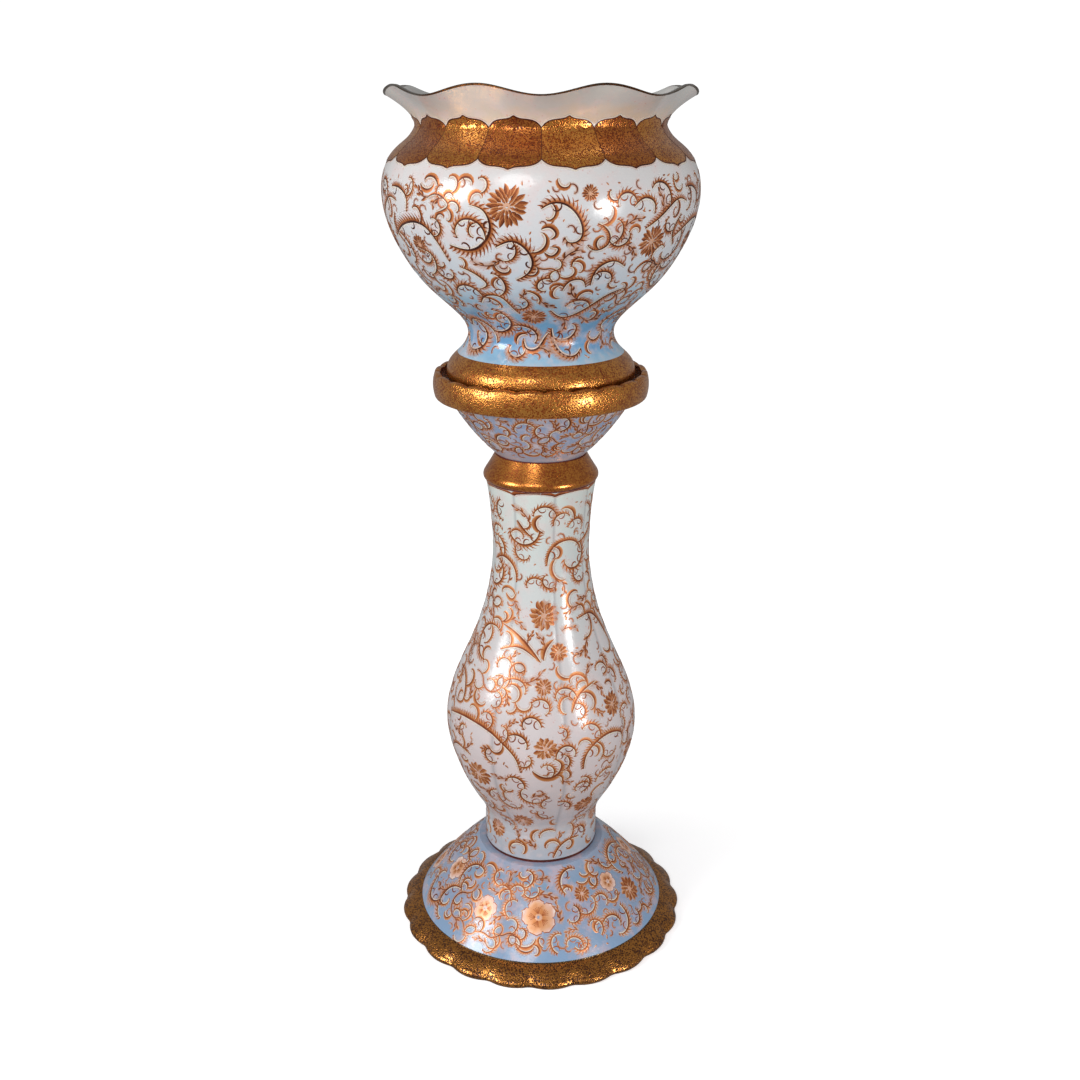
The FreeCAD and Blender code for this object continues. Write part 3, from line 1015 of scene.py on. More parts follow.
    def blossom(self, spot: Spot, reach: float) -> None:
        """Paint an open blossom with five broad, frilled, veined petals, each with a dark outline.

        Args:
            spot: Its spot.
            reach: Its radius, in millimetres.
        """
        petals, tone = 5, 0.42
        dark = [tone - 0.20] * 3
        share = np.linspace(0, 1, 9)[:, None]
        part = share[:, 0]
        width = reach * 0.50 * np.sin(np.pi * (0.08 + 0.80 * part)) ** 0.7 * (1 + 0.10 * np.cos(part * 24))
        edge = tone + 0.44 * part
        tones = np.column_stack([edge, tone + 0.26 * part, edge])
        for index in range(petals):
            way = pointing(360.0 * index / petals)
            across = np.array([way[1], -way[0]])
            blade = way * reach * (0.16 + 0.84 * share)
            self.strip(spot, blade * 1.05, width + 0.6, width + 0.6, dark, SOLID, Layer.HALO)
            self.strip(spot, blade, width, width, tones, SOLID, Layer.BAND)
            for vein in (-1.6, -0.8, 0, 0.8, 1.6):
                rib = way * reach * (0.2 + (0.70 - 0.10 * abs(vein)) * share[:6])
                rib = rib + across * vein * reach * 0.2 * share[:6]
                self.strip(spot, rib, 0.32, 0.32, dark, SOLID, Layer.LINE)
        self.flower_heart(spot, bent(reach * 1.2, 480, 0, 1.0, step=0.9))
        self.keep(spot, np.zeros((2, 2)), reach)

    def flower_heart(self, spot: Spot, coil: Array) -> None:
        """Paint a coiled heart on a pale ground, in the middle of a flower."""
        heart = coil - coil.mean(axis=0)
        self.strip(spot, heart, 1.2, 1.2, [0.62, 0.70, 0.62], [0.9, 0.9, 0.9], Layer.LINE)
        self.line(spot, heart, 0.55, 0.06)

    def scatter(self, make: Callable[["Brush"], "Plan"], number: int, tries: int) -> None:
        """Paint motifs of one kind wherever there is room.

        Args:
            make: Plans one motif.
            number: How many at most.
            tries: How many spots are tried.
        """
        low, high = self.limits
        widest = self.wall.line[:, 0].max()
        done = 0
        for _ in range(tries):
            run = self.chance.uniform(low, high)
            if self.chance.random() > self.wall.radius_at(run) / widest:
                continue
            done += self.try_out(make(self), self.chance.uniform(-math.pi, math.pi), run,
                                 self.chance.uniform(0, math.tau), self.chance.random() < 0.5)
            if done == number:
                break

    def grow(self, make: Callable[["Brush"], "Plan"], number: int, tries: int) -> None:
        """Let motifs of one kind branch off the lines that are there.

        Args:
            make: Plans one motif.
            number: How many at most.
            tries: How many branches are tried.
        """
        done = 0
        for _ in range(tries):
            angle, run, heading = self.chance.choice(self.buds)
            side = self.chance.choice((-1, 1))
            plan = make(self)
            turn = heading + side * self.chance.uniform(0.35, 1.0)
            done += self.try_out(plan, angle, run, turn, side < 0, 0.24)
            if done == number:
                break

    def try_out(self, plan: "Plan", angle: float, run: float, turn: float, flip: bool,
                root: float = 0.0) -> bool:
        """Paint a planned motif if it has room.

        Args:
            plan: The motif.
            angle: Angle of its spot, in radians.
            run: Distance of its spot along the wall.
            turn: How it is turned.
            flip: Whether it is mirrored.
            root: Share of its line that may touch what is there.

        Returns:
            Whether it was painted.
        """
        spot = Spot(angle, run, turn, self.chance.uniform(0.86, 1.12), flip)
        if not self.fits(spot, plan.spine, plan.reach, root):
            return False
        plan.paint(spot)
        return True

    def branch_out(self, counts: "dict[Callable[[Brush], Plan], int]") -> None:
        """Grow motifs of several kinds off one another, the large ones first."""
        for make, number in counts.items():
            self.grow(make, number, 20 * number + 300)

    def fill(self) -> None:
        """Fill what is left with small motifs."""
        for make in (mid_plume, crescent, leafy_sprig, comma):
            self.scatter(make, 80, 800)
            self.grow(make, 80, 800)
        self.scatter(speck, 160, 900)

    def through(self, places: Sequence[Place], turn: float = 0.0) -> tuple[Spot, Array]:
        """Draw a line through places on the wall.

        Args:
            places: Angles in degrees and heights in millimetres.
            turn: Angle, in degrees, by which the whole line is shifted round.

        Returns:
            The spot of its first place, and the line in millimetres from there.
        """
        runs = np.array([self.wall.run_at(height * MM) for _, height in places])
        start = math.radians(places[0][0] + turn)
        wide = [(math.radians(angle + turn) - start) * float(self.wall.radius_at(run)) / MM
                for (angle, _), run in zip(places, runs)]
        line = smooth_line(list(zip(wide, (runs - runs[0]) / MM)), HAND_STEP)
        return Spot(start, float(runs[0])), np.array(line)

    def hoop(self, height: Callable[[float], float]) -> tuple[Spot, Array]:
        """Draw a line all the way round, at a height in millimetres that goes with the angle in degrees."""
        return self.through([(float(angle), height(float(angle))) for angle in range(0, 361, 3)])

    def spot_at(self, angle: float, height: float, turn: float = 0.0) -> Spot:
        """Give the spot at an angle in degrees and a height in millimetres, turned by some radians."""
        return Spot(math.radians(angle), self.wall.run_at(height * MM), turn)

    def plumes(self, scrolls: Sequence[Scroll], turn: float, tone: float) -> None:
        """Paint a table's scrolls, all shifted round by an angle in degrees."""
        for places, weight, teeth, side, hooks in scrolls:
            spot, spine = self.through(places, turn)
            self.plume(spot, spine, weight, teeth, side, hooks, tone)

    def piece(self, name: str, finish: Material) -> Piece:
        """Make one mesh of the strips laid so far, and start afresh beside them.

        Args:
            name: The piece's name.
            finish: Its material.

        Returns:
            The piece.
        """
        rows = np.concatenate(self.rows)
        piece = new_piece(name, self.wall.points(rows[:, 0], rows[:, 1], rows[:, 2]), self.faces)
        LOG.info("%s: %d strokes, %d faces", name, len(self.rows) // 3, len(self.faces))
        self.rows, self.faces, self.count = [], [], 0
        mesh = piece.data
        corners = np.zeros(len(mesh.loops), np.int32)
        mesh.loops.foreach_get("vertex_index", corners)
        layer = mesh.uv_layers.new(name=STRIP_MAP)
        layer.data.foreach_set("uv", np.clip(rows[corners, 3:5], 0, 1).astype(np.float32).ravel())
        mesh.materials.append(finish)
        smooth(piece, 50)
        return piece


@dataclass(frozen=True)
class Plan:
    """A motif about to be painted: its line, the room it needs beside the line, and how it is painted."""

    spine: Array
    reach: float
    paint: Callable[[Spot], None]


def long_vine(brush: Brush) -> Plan:
    """Plan a long vine with five branches."""
    chance = brush.chance
    spine = winding(chance.uniform(80, 110),
                    (0, chance.uniform(60, 90), 10, chance.uniform(-80, -50), -210))
    return Plan(spine, 9.0, lambda spot: brush.vine(spot, spine, 5, 1.1, 5.5))


def short_vine(brush: Brush) -> Plan:
    """Plan a short vine with three branches."""
    chance = brush.chance
    spine = winding(chance.uniform(42, 58), (0, chance.uniform(50, 80), -30, -170))
    return Plan(spine, 7.0, lambda spot: brush.vine(spot, spine, 3, 1.0, 4.6))


def big_plume(brush: Brush) -> Plan:
    """Plan a large feathered scroll."""
    chance = brush.chance
    spine = bent(chance.uniform(56, 84), chance.uniform(190, 270), 0, 1.7, 0.3)
    return Plan(spine, 5.6,
                lambda spot: brush.plume(spot, spine, 1.4, 7.5, -1, 3, chance.uniform(0.02, 0.08)))


def mid_plume(brush: Brush) -> Plan:
    """Plan a middling feathered scroll."""
    chance = brush.chance
    spine = bent(chance.uniform(30, 48), chance.uniform(170, 260), 0, 2.0)
    return Plan(spine, 3.8,
                lambda spot: brush.plume(spot, spine, 1.15, 5.4, -1, 2, chance.uniform(0.03, 0.14)))


def crescent(brush: Brush) -> Plan:
    """Plan a broad scroll with few teeth or none."""
    chance = brush.chance
    spine = bent(chance.uniform(18, 36), chance.uniform(150, 250), 0, 2.4)
    teeth = chance.choice((0.0, 0.0, 3.0))
    return Plan(spine, 1.9,
                lambda spot: brush.plume(spot, spine, 1.05, teeth, -1, 0, chance.uniform(0.04, 0.2)))


def leafy_sprig(brush: Brush) -> Plan:
    """Plan a leafy sprig."""
    chance = brush.chance
    spine = bent(chance.uniform(14, 28), 80, -20, 0.6)
    return Plan(spine, 2.8, lambda spot: brush.sprig(spot, spine, chance.choice((4, 5, 6)), 7.5))


def comma(brush: Brush) -> Plan:
    """Plan a small hooked stroke."""
    spine = bent(brush.chance.uniform(10, 18), 230, 0, 2.6, step=1.4)
    return Plan(spine, 1.0, lambda spot: brush.curl(spot, spine, brush.chance.uniform(0.08, 0.30)))


def speck(brush: Brush) -> Plan:
    """Plan a single small leaf."""
    spine = bent(brush.chance.uniform(3.5, 6), 50, step=1.2)
    return Plan(spine, 1.0, lambda spot: brush.leaf(spot, spine, 1.1, brush.chance.uniform(0.3, 0.55)))


def round_flower(brush: Brush) -> Plan:
    """Plan a many-petalled flower."""
    reach = brush.chance.uniform(10, 14)
    return Plan(np.zeros((4, 2)), reach * 0.9, lambda spot: brush.flower(spot, reach, 10))


def open_blossom(brush: Brush) -> Plan:
    """Plan a broad open blossom."""
    reach = brush.chance.uniform(12, 17)
    return Plan(np.zeros((4, 2)), reach * 0.9, lambda spot: brush.blossom(spot, reach))


# ---- pieces --------------------------------------------------------------------------------
# Their lengths are in metres, and their angles in degrees from the front to the right.


def base_of(node: str) -> float:
    """Give the height of a node's lowest point."""
    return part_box(node)[0].z


def hand_over(piece: Piece, body: str, node: str | None = None) -> None:
    """Put a finished piece on its body, and hide the node of the frame that it stands for."""
    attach(piece, body)
    if node:
        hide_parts(node)
    LOG.info("%s rides on %s", piece.name, body)


def hand_over_paint(brush: Brush, name: str, body: str, finishes: Finishes) -> None:
    """Make a piece of what a brush has painted since its last one, and put it on its body."""
    hand_over(brush.piece(name, finishes["scroll_enamel"]), body)


def flat(angle: Array, radius: Array, height: Array) -> Array:
    """Give a wall with no lobes."""
    return np.zeros(np.broadcast(angle, radius).shape)


QUARTER = 0.29  # how far a quarter round stands out from its chord, in shares of its radius

# The scrolls that are listed one by one. Each row has the places that a scroll passes through, as angles in
# degrees from the front to the right and heights in millimetres above the floor, then its boldness, the
# length of its teeth, 1 or -1 for teeth on the left or right of its travel, and its number of hooks. A
# flower's row has its angle, height and reach.
POT_PLUMES: tuple[Scroll, ...] = (
    (((-67, 853), (-53, 870), (-43, 866), (-39, 850), (-37, 833)), 1.5, 8.5, 1, 3),
    (((-34, 851), (-26, 847), (-19, 858), (-17, 872), (-19, 886), (-24, 891)), 1.7, 9.0, -1, 3),
    (((-16, 851), (-9, 857), (-5, 849), (-3, 837), (-5, 825), (-10, 818)), 1.5, 8.0, 1, 3),
    (((0, 888), (3, 893), (8, 892), (12, 882), (14, 868), (13, 858), (9, 857), (8, 862)), 1.4, 8.0, 1, 2),
    (((0, 869), (3, 871), (5, 864), (3, 859)), 1.2, 0, 1, 0),
    (((1, 847), (4, 843), (6, 850), (3, 852)), 1.0, 0, -1, 0),
    (((32, 888), (36, 896), (41, 890), (41, 880)), 1.2, 5.0, 1, 1),
    (((19, 874), (23, 866), (24, 855), (19, 848), (16, 853)), 1.1, 4.0, -1, 0),
    (((21, 811), (22, 829), (28, 836), (34, 829)), 1.3, 6.0, 1, 2),
    (((57, 878), (54, 862), (58, 846)), 1.2, 5.0, 1, 0),
    (((-63, 903), (-57, 903), (-52, 893), (-53, 880)), 1.2, 5.0, 1, 1),
    (((-31, 790), (-26, 799), (-19, 799), (-15, 788), (-12, 779)), 1.3, 6.0, 1, 1),
    (((7, 762), (10, 743), (17, 732), (25, 731), (31, 738)), 1.4, 6.5, -1, 2),
    (((-58, 758), (-49, 768), (-39, 762), (-35, 742)), 1.3, 6.0, 1, 1),
    (((-13, 750), (-11, 739), (-4, 738), (2, 748), (6, 757)), 1.2, 0, -1, 0),
    (((9, 806), (12, 817), (17, 817), (19, 809)), 1.0, 4.0, 1, 0),
    (((-37, 882), (-32, 890), (-36, 899), (-41, 895)), 0.9, 0, -1, 0),
    (((-33, 829), (-27, 823), (-23, 812), (-28, 806)), 1.1, 4.5, 1, 0),
    (((5, 784), (12, 775), (22, 781), (33, 800), (41, 806)), 1.2, 5.5, -1, 1),
    (((38, 866), (46, 880), (55, 893), (60, 889)), 1.2, 5.5, 1, 1),
    (((-52, 845), (-45, 838), (-47, 822), (-53, 816)), 1.1, 5.0, 1, 1),
)
POT_FLOWERS: tuple[Flower, ...] = (
    (-11, 890, 20), (43, 853, 17), (-4, 776, 13), (-50, 848, 11), (16, 902, 8))
STEM_PLUMES: tuple[Scroll, ...] = (
    (((1, 548), (-6, 541), (-4, 531), (4, 526)), 1.3, 0, -1, 0),
    (((-27, 540), (-17, 527), (-8, 520)), 1.1, 3.5, -1, 0),
    (((7, 486), (10, 502), (26, 515), (44, 511), (54, 497)), 1.5, 4.0, 1, 1),
    (((-66, 484), (-48, 492), (-32, 480), (-30, 464)), 1.5, 4.0, 1, 1),
    (((-42, 450), (-33, 444), (-28, 453)), 1.0, 0, -1, 0),
    (((38, 420), (58, 421), (74, 400), (80, 372)), 1.4, 4.5, 1, 1),
    (((0, 378), (-8, 391), (-22, 406), (-40, 415)), 1.5, 0, 1, 0),
    (((2, 380), (4, 392), (12, 402)), 1.5, 0, 1, 0),
    (((-37, 386), (-20, 393), (-4, 382)), 1.2, 3.0, 1, 0),
    (((-82, 344), (-64, 338), (-60, 316), (-70, 312)), 1.4, 3.5, 1, 1),
    (((-76, 290), (-53, 303), (-37, 300), (-24, 288), (-14, 268), (-12, 252)), 1.8, 6.5, 1, 2),
    (((-5, 256), (2, 246), (10, 250), (12, 264), (7, 272)), 1.7, 0, -1, 0),
    (((26, 252), (27, 270), (35, 285), (49, 287), (58, 274), (56, 257)), 1.6, 6.0, 1, 2),
    (((13, 109), (18, 122), (30, 131), (42, 130)), 1.2, 3.5, 1, 1),
    (((-70, 250), (-60, 262), (-46, 258)), 1.2, 3.5, 1, 0),
    (((20, 322), (28, 342), (42, 350)), 1.3, 0, 1, 0),
)
STEM_FLOWERS: tuple[Flower, ...] = (
    (3, 429, 17), (52, 318, 15), (-42, 234, 17), (2, 352, 10), (-16, 166, 13), (34, 190, 14))
FOOT_BLOSSOMS: tuple[Flower, ...] = (
    (-1, 61, 20), (-34, 60, 15), (-72, 72, 15), (112, 58, 17), (168, 64, 18), (-118, 60, 18))
FOOT_FLOWERS: tuple[Flower, ...] = (
    (63, 57, 16), (28, 76, 10), (140, 70, 13), (-150, 52, 14))


@dataclass
class Pot:
    """The jardiniere itself, in metres above its own foot; band and scrolls count from the room's floor."""

    neck_height: float = 0.274
    neck_radius: float = 0.1315
    belly: Place = (0.169, 0.203)
    waist: Place = (0.0804, 0.059)
    foot_roll: Place = (0.1048, 0.012)
    foot_radius: float = 0.101
    foot_recess: float = 0.091
    wall: float = 0.007
    floor: float = 0.031
    floor_wall: float = 0.008
    # How far the floor's round edge lies inside the waist's wall, at heights above the foot.
    floor_round: tuple[Place, ...] = ((0.0, 0.045), (0.002, 0.036), (0.008, 0.031))
    gilt_foot_top: float = 0.0375
    rim_height: float = 0.0405
    rim_radius: float = 0.173
    rim_wave: float = 0.0103
    rim_drop: float = 0.010
    rim_curl: float = 0.571
    rim_wall: float = 0.0045
    # How far the lip lies inside the rim's edge, and below its top.
    lip: tuple[Place, ...] = ((0.0010, 0.0008), (0.0018, 0.0), (0.0034, 0.0), (0.0060, 0.0002),
                              (0.0084, 0.0010))
    lobes: int = 8
    band_low: Place = (0.9230, 0.9322)
    band_middle: float = 0.946
    band_high: Place = (0.9712, 0.9600)
    panels: int = 16
    panel_rows: int = 15
    panel_columns: int = 25
    panel_shift: float = 0.2
    panel_share: float = 0.995
    panel_lift: float = 0.00045
    panel_edge_lift: float = 0.00015
    panel_wall: float = 0.0006
    scroll_zone: Place = (0.726, 0.918)
    scroll_rounds: tuple[float, ...] = (0.0, 122.0, 241.0)
    facets: int = 256
    base: float = field(default_factory=lambda: base_of("jardiniere_pot"))

    def __post_init__(self) -> None:
        """Work out the neck's and the rim's height above the room's floor."""
        self.neck = self.base + self.neck_height
        self.top = self.neck + self.rim_height

    def outline(self) -> list[Place]:
        """Give the outside from the foot to the neck."""
        neck = (self.neck_radius, self.neck_height)
        places = [(self.foot_radius, 0.0), self.foot_roll,
                  *between(self.foot_roll, self.waist, (0.07, 0.27), (0.42, 0.49), (0.82, 0.71)),
                  self.waist, *between(self.waist, self.belly, (0.18, 0.18), (0.54, 0.39), (0.78, 0.60)),
                  self.belly, *between(self.belly, neck, (0.26, 0.58), (0.53, 0.73), (0.84, 0.87)), neck]
        return [(radius, self.base + height) for radius, height in smooth_line(places, 0.0032)]

    def flare(self, share: Array | float) -> Array | float:
        """Give the flare's middle radius at a share of its height."""
        return self.neck_radius + (self.rim_radius - self.neck_radius) * share ** (1 / self.rim_curl)

    def flare_line(self, shares: Array) -> list[Place]:
        """Give the flare's outside at shares of its height."""
        return [(float(self.flare(share)), self.neck + self.rim_height * share) for share in shares]

    def flare_wall(self, share: float) -> float:
        """Give how thick the flare is when measured level, at a share of its height."""
        slope = (self.rim_radius - self.neck_radius) / self.rim_height / self.rim_curl
        return self.rim_wall * math.hypot(1, slope * share ** (1 / self.rim_curl - 1))

    def rim_lobe(self, angle: Array, radius: Array, height: Array) -> Array:
        """Tell how far the outer wall lies inside its middle radius."""
        spread = np.clip((radius - self.neck_radius) / (self.rim_radius - self.neck_radius), 0, 1)
        spread = spread * (height > self.neck)
        return -self.rim_wave * spread * np.cos(np.radians(self.lobes * angle))

    def profile(self) -> Profile:
        """Draw the closed outline: foot recess, outside, lip, inside and floor."""
        outside = self.outline()
        gilt = self.base + self.gilt_foot_top
        under = self.base + self.floor - self.floor_wall
        well = self.waist[0] - self.wall
        edge = float(self.flare(1.0))
        lip = [(edge - inset, self.top - drop) for inset, drop in self.lip]
        inner = [(radius - self.flare_wall((height - self.neck) / self.rim_height), height)
                 for radius, height in self.flare_line(np.linspace(0.93, 0, 16))]
        inside = [(radius - self.wall, height) for radius, height in reversed(outside)
                  if self.base + self.waist[1] < height < self.neck - 0.004]
        profile = Profile()
        profile.to(Zone.MAIN, [(0.0, under), (well, under), (self.foot_recess, self.base),
                               (self.foot_radius - MM, self.base)])
        profile.to(Zone.GILT, [place for place in outside if place[1] <= gilt])
        profile.to(Zone.MAIN, [place for place in outside if place[1] > gilt])
        profile.to(Zone.MAIN, self.flare_line(np.linspace(0, 0.945, 20)))
        profile.to(Zone.DARK, lip).to(Zone.MAIN, inner).to(Zone.MAIN, inside)
        profile.to(Zone.MAIN, [(well - inset, self.base + height) for inset, height in self.floor_round])
        profile.to(Zone.MAIN, [(0.0, self.base + self.floor)])
        return profile

    def wave_rim(self, angle: Array, radius: Array, height: Array) -> tuple[Array, Array]:
        """Swing the flare in and out and its edge up and down."""
        share = np.clip((height - self.neck) / self.rim_height, 0, None)
        swing = np.cos(np.radians(self.lobes * angle))
        edge = 1 - self.rim_drop / 2 * (1 + swing) / self.rim_height
        new_share = share * edge
        opening = new_share ** (1 / self.rim_curl)
        moved = radius + self.flare(new_share) - self.flare(share) + self.rim_wave * opening * swing
        above = height > self.neck
        return (np.where(above, moved, radius),
                np.where(above, self.neck + self.rim_height * new_share, height))

    def body(self, finishes: Finishes) -> None:
        """Make the pot's body."""
        coats = [finishes[name] for name in ("pot_glaze", "old_gold", "lip_gold")]
        piece = turn_piece("pot_body", self.profile(), self.facets, coats)
        reshape(piece, self.wave_rim)
        smooth(piece)
        hand_over(piece, "jardiniere", "jardiniere_pot")

    def paint_wall(self) -> Wall:
        """Give the wall that the ornament lies on, with the lower part of the flare."""
        return Wall(self.outline()[4:] + self.flare_line(np.linspace(0.05, 0.5, 8)), self.rim_lobe)

    def panel_edges(self) -> tuple[Array, Array, Array]:
        """Draw the bracket outline of one panel.

        Returns:
            Shares across the panel, from -1 to 1, and the heights of its lower and its upper edge there.
        """
        share = np.arange(self.panel_columns) / (self.panel_columns - 1) * 2 - 1
        peak = 0.70 * (1 - np.abs(share) ** 5) + 0.30 * (1 - np.abs(share)) ** 6
        low = self.band_low[1] - (self.band_low[1] - self.band_low[0]) * peak
        high = self.band_high[1] + (self.band_high[0] - self.band_high[1]) * peak
        return share, low, high

    def band_panels(self, name: str, start: int, finish: Material) -> None:
        """Make every second panel of the shoulder band, as thin plates.

        Args:
            name: The piece's name.
            start: Number of the first panel.
            finish: The piece's material.
        """
        wall = self.paint_wall()
        share, low, high = self.panel_edges()
        starts = np.array([wall.run_at(height) for height in low])
        ends = np.array([wall.run_at(height) for height in high])
        rows, columns = self.panel_rows, self.panel_columns
        pitch = math.tau / self.panels
        points: list[Array] = []
        faces: list[tuple[int, ...]] = []
        for index in range(start, self.panels, 2):
            angle = math.radians(self.panel_shift) + pitch * (index + 0.5 + share / 2 * self.panel_share)
            first = len(points) * columns
            for row in range(rows):
                lift = self.panel_lift if 0 < row < rows - 1 else self.panel_edge_lift
                runs = starts + (ends - starts) * (row / (rows - 1))
                points.append(wall.points(angle, runs, np.full(columns, lift)))
            for row in range(rows - 1):
                for column in range(columns - 1):
                    corner = first + row * columns + column
                    faces.append((corner, corner + 1, corner + columns + 1, corner + columns))
        piece = new_piece(name, np.concatenate(points), faces)
        pick(piece)
        thick = piece.modifiers.new("thickness", "SOLIDIFY")
        thick.thickness = self.panel_wall
        thick.offset = -1
        bpy.ops.object.modifier_apply(modifier=thick.name)
        piece.data.materials.append(finish)
        smooth(piece)
        hand_over(piece, "jardiniere")

    def band_lines(self, finishes: Finishes) -> None:
        """Paint the dark outlines of the panels and the pale edge beside them."""
        brush = Brush(self.paint_wall(), 3)
        share, low, high = self.panel_edges()
        half = math.degrees(math.pi / self.panels)
        for index in range(self.panels):
            middle = half * (2 * index + 1) + self.panel_shift
            for edge, side in ((low, -1), (high, 1)):
                spot, spine = brush.through([(middle + half * x, y / MM) for x, y in zip(share, edge)])
                brush.strip(spot, spine, 2.2, 0.4, [0.94, 0.90, 0.7], [0, 0.9, 0.8], Layer.BAND, side)
                brush.strip(spot, spine, 0.35, 0.9, [0.06, 0.02, 0.10], SOLID, Layer.TRIM, side)
            spot, spine = brush.through([(middle - half, height / MM) for height in
                                         (self.band_low[1], self.band_middle, self.band_high[1])])
            brush.strip(spot, spine, 0.5, 0.5, [0.10, 0.04, 0.10], SOLID, Layer.TRIM)
        hand_over_paint(brush, "pot_shoulder_lines", "jardiniere", finishes)

    def band(self, finishes: Finishes) -> None:
        """Make the gilt shoulder band of bracket panels, alternately gold and a darker red gold; the red
        gold is partly a second gold and partly painted shade.
        """
        self.band_panels("pot_shoulder_gold", 0, finishes["old_gold"])
        self.band_panels("pot_shoulder_red_gold", 1, finishes["red_gold_and_shade"])
        self.band_lines(finishes)

    def scrolls(self, finishes: Finishes) -> None:
        """Paint the pot's scrolls: the large listed ones, three times round, and small ones between."""
        brush = Brush(self.paint_wall(), 11, 0.0, self.scroll_zone)
        for turn in self.scroll_rounds:
            brush.plumes(POT_PLUMES, turn, 0.04)
            for angle, height, reach in POT_FLOWERS:
                brush.flower(brush.spot_at(angle + turn, height, turn), reach, 12 + round(reach / 4))
        brush.branch_out({big_plume: 16, short_vine: 12, mid_plume: 40})
        hand_over_paint(brush, "pot_scrolls", "jardiniere", finishes)
        brush.branch_out({mid_plume: 20, leafy_sprig: 60, crescent: 120})
        brush.fill()
        hand_over_paint(brush, "pot_small_scrolls", "jardiniere", finishes)


@dataclass
class Dish:
    """The stand's top: a small bowl with a gilt band and a ledge, in metres above its own base."""

    base_radius: float = 0.052
    bowl: Place = (0.1035, 0.065)
    bowl_bulge: float = 0.0032
    band_radius: float = 0.121
    band_height: float = 0.029
    band_bulge: float = 0.002
    band_round: float = 0.003
    band_low_out: float = 0.0004
    band_high_out: float = 0.0002
    ledge: float = 0.077
    inside: float = 0.1125
    ledge_inner: float = 0.090
    wall: float = 0.009
    floor: float = 0.011
    spigot: Place = (0.044, -0.0085)
    rod_hole: float = 0.006
    scallops: int = 24
    scallop_depth: float = 0.0022
    scallop_run: float = 0.008
    crest: float = 9.5
    scroll_zone: Place = (0.006, 0.066)
    facets: int = 288

    def __post_init__(self) -> None:
        """Find the dish's base from the spigot's foot in the frame, and the band's edges above it."""
        self.base = base_of("dish") - self.spigot[1]
        self.band_foot = self.base + self.bowl[1]
        self.top = self.base + self.bowl[1] + self.band_height

    def bowl_line(self) -> list[Place]:
        """Give the bowl's outside."""
        return arc_line((self.base_radius, self.base), (self.bowl[0], self.band_foot), self.bowl_bulge,
                        0.003)

    def band_line(self) -> list[Place]:
        """Give the band's outside: a rounded lower edge, a bulging side and a rounded upper edge."""
        side, soft = self.band_radius - self.band_bulge, self.band_round
        low = (side + self.band_low_out, self.band_foot + soft)
        high = (side + self.band_high_out, self.top - soft)
        return [*arc_line((side - soft, self.band_foot), low, soft * QUARTER, MM),
                *arc_line(low, high, self.band_bulge - self.band_low_out, 0.0025),
                *arc_line(high, (side - soft, self.top), soft * QUARTER, MM)]

    def profile(self) -> Profile:
        """Draw the closed outline."""
        foot, ledge, floor = self.base + self.spigot[1], self.base + self.ledge, self.base + self.floor
        well = arc_line((self.base_radius - self.wall / 2, floor + self.wall / 2),
                        (self.ledge_inner, self.band_foot), self.bowl_bulge, 0.006)
        profile = Profile()
        profile.to(Zone.MAIN, [(self.rod_hole, foot), (self.spigot[0], foot), (self.spigot[0], self.base)])
        profile.to(Zone.MAIN, self.bowl_line())
        profile.to(Zone.GILT, self.band_line())
        profile.to(Zone.GILT, [(self.inside + MM, self.top), (self.inside, self.top - MM),
                               (self.inside, ledge)])
        profile.to(Zone.MAIN, [(self.ledge_inner, ledge), (self.ledge_inner, self.band_foot),
                               *reversed(well), (self.base_radius - self.wall, floor),
                               (self.rod_hole, floor), (self.rod_hole, foot)])
        return profile

    def scallop(self, angle: Array, radius: Array, height: Array) -> tuple[Array, Array]:
        """Cut the band's upper edge into low arches."""
        arch = np.abs(np.cos(np.radians(self.scallops / 2 * (angle - self.crest)))) ** 0.7
        near = np.clip((height - (self.top - self.scallop_run)) / self.scallop_run, 0, 1)
        near = near * (radius > self.inside - MM / 5)
        return radius, height - self.scallop_depth * (1 - arch) * near

    def body(self, finishes: Finishes) -> None:
        """Make the dish's body."""
        coats = [finishes[name] for name in ("dish_glaze", "old_gold")]
        piece = turn_piece("dish_body", self.profile(), self.facets, coats, self.crest)
        reshape(piece, self.scallop)
        smooth(piece)
        hand_over(piece, "stand", "dish")

    def scrolls(self, finishes: Finishes) -> None:
        """Paint the bowl's scrolls."""
        low, high = self.scroll_zone
        brush = Brush(Wall(self.bowl_line(), flat), 23, 0.10, (self.base + low, self.base + high))
        brush.scatter(short_vine, 8, 400)
        brush.scatter(round_flower, 6, 200)
        brush.branch_out({mid_plume: 16, leafy_sprig: 20, crescent: 40})
        brush.fill()
        hand_over_paint(brush, "dish_scrolls", "stand", finishes)


@dataclass
class Collar:
    """The gilded ring between stem and dish, in metres above its own lower edge."""

    height: float = 0.0295
    base_radius: float = 0.0635
    roll: tuple[Place, ...] = ((0.0656, 0.002), (0.0662, 0.005), (0.0653, 0.0083))
    shoulder: Place = (0.064, 0.0105)
    flank: Place = (0.058, 0.020)
    top_radius: float = 0.0526
    bore: float = 0.045
    skirt: Place = (0.056, 0.0085)
    facets: int = 192

    def body(self, finishes: Finishes) -> None:
        """Make the ring."""
        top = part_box("collar")[1].z
        base = top - self.height
        roll, (shoulder, flank) = ([(radius, base + height) for radius, height in places]
                                   for places in (self.roll, (self.shoulder, self.flank)))
        lower = smooth_line([(self.base_radius, base), *roll, shoulder], 0.0012)
        upper = smooth_line([shoulder, flank, (self.top_radius, top)], 0.003)
        skirt, seat = self.skirt[0], base + self.skirt[1]
        profile = Profile()
        profile.to(Zone.MAIN, [(skirt, base), *lower, *upper, (self.bore, top), (self.bore, seat),
                               (skirt, seat), (skirt, base)])
        piece = turn_piece("collar_ring", profile, self.facets, [finishes["smooth_gold"]])
        smooth(piece)
        hand_over(piece, "stand", "collar")


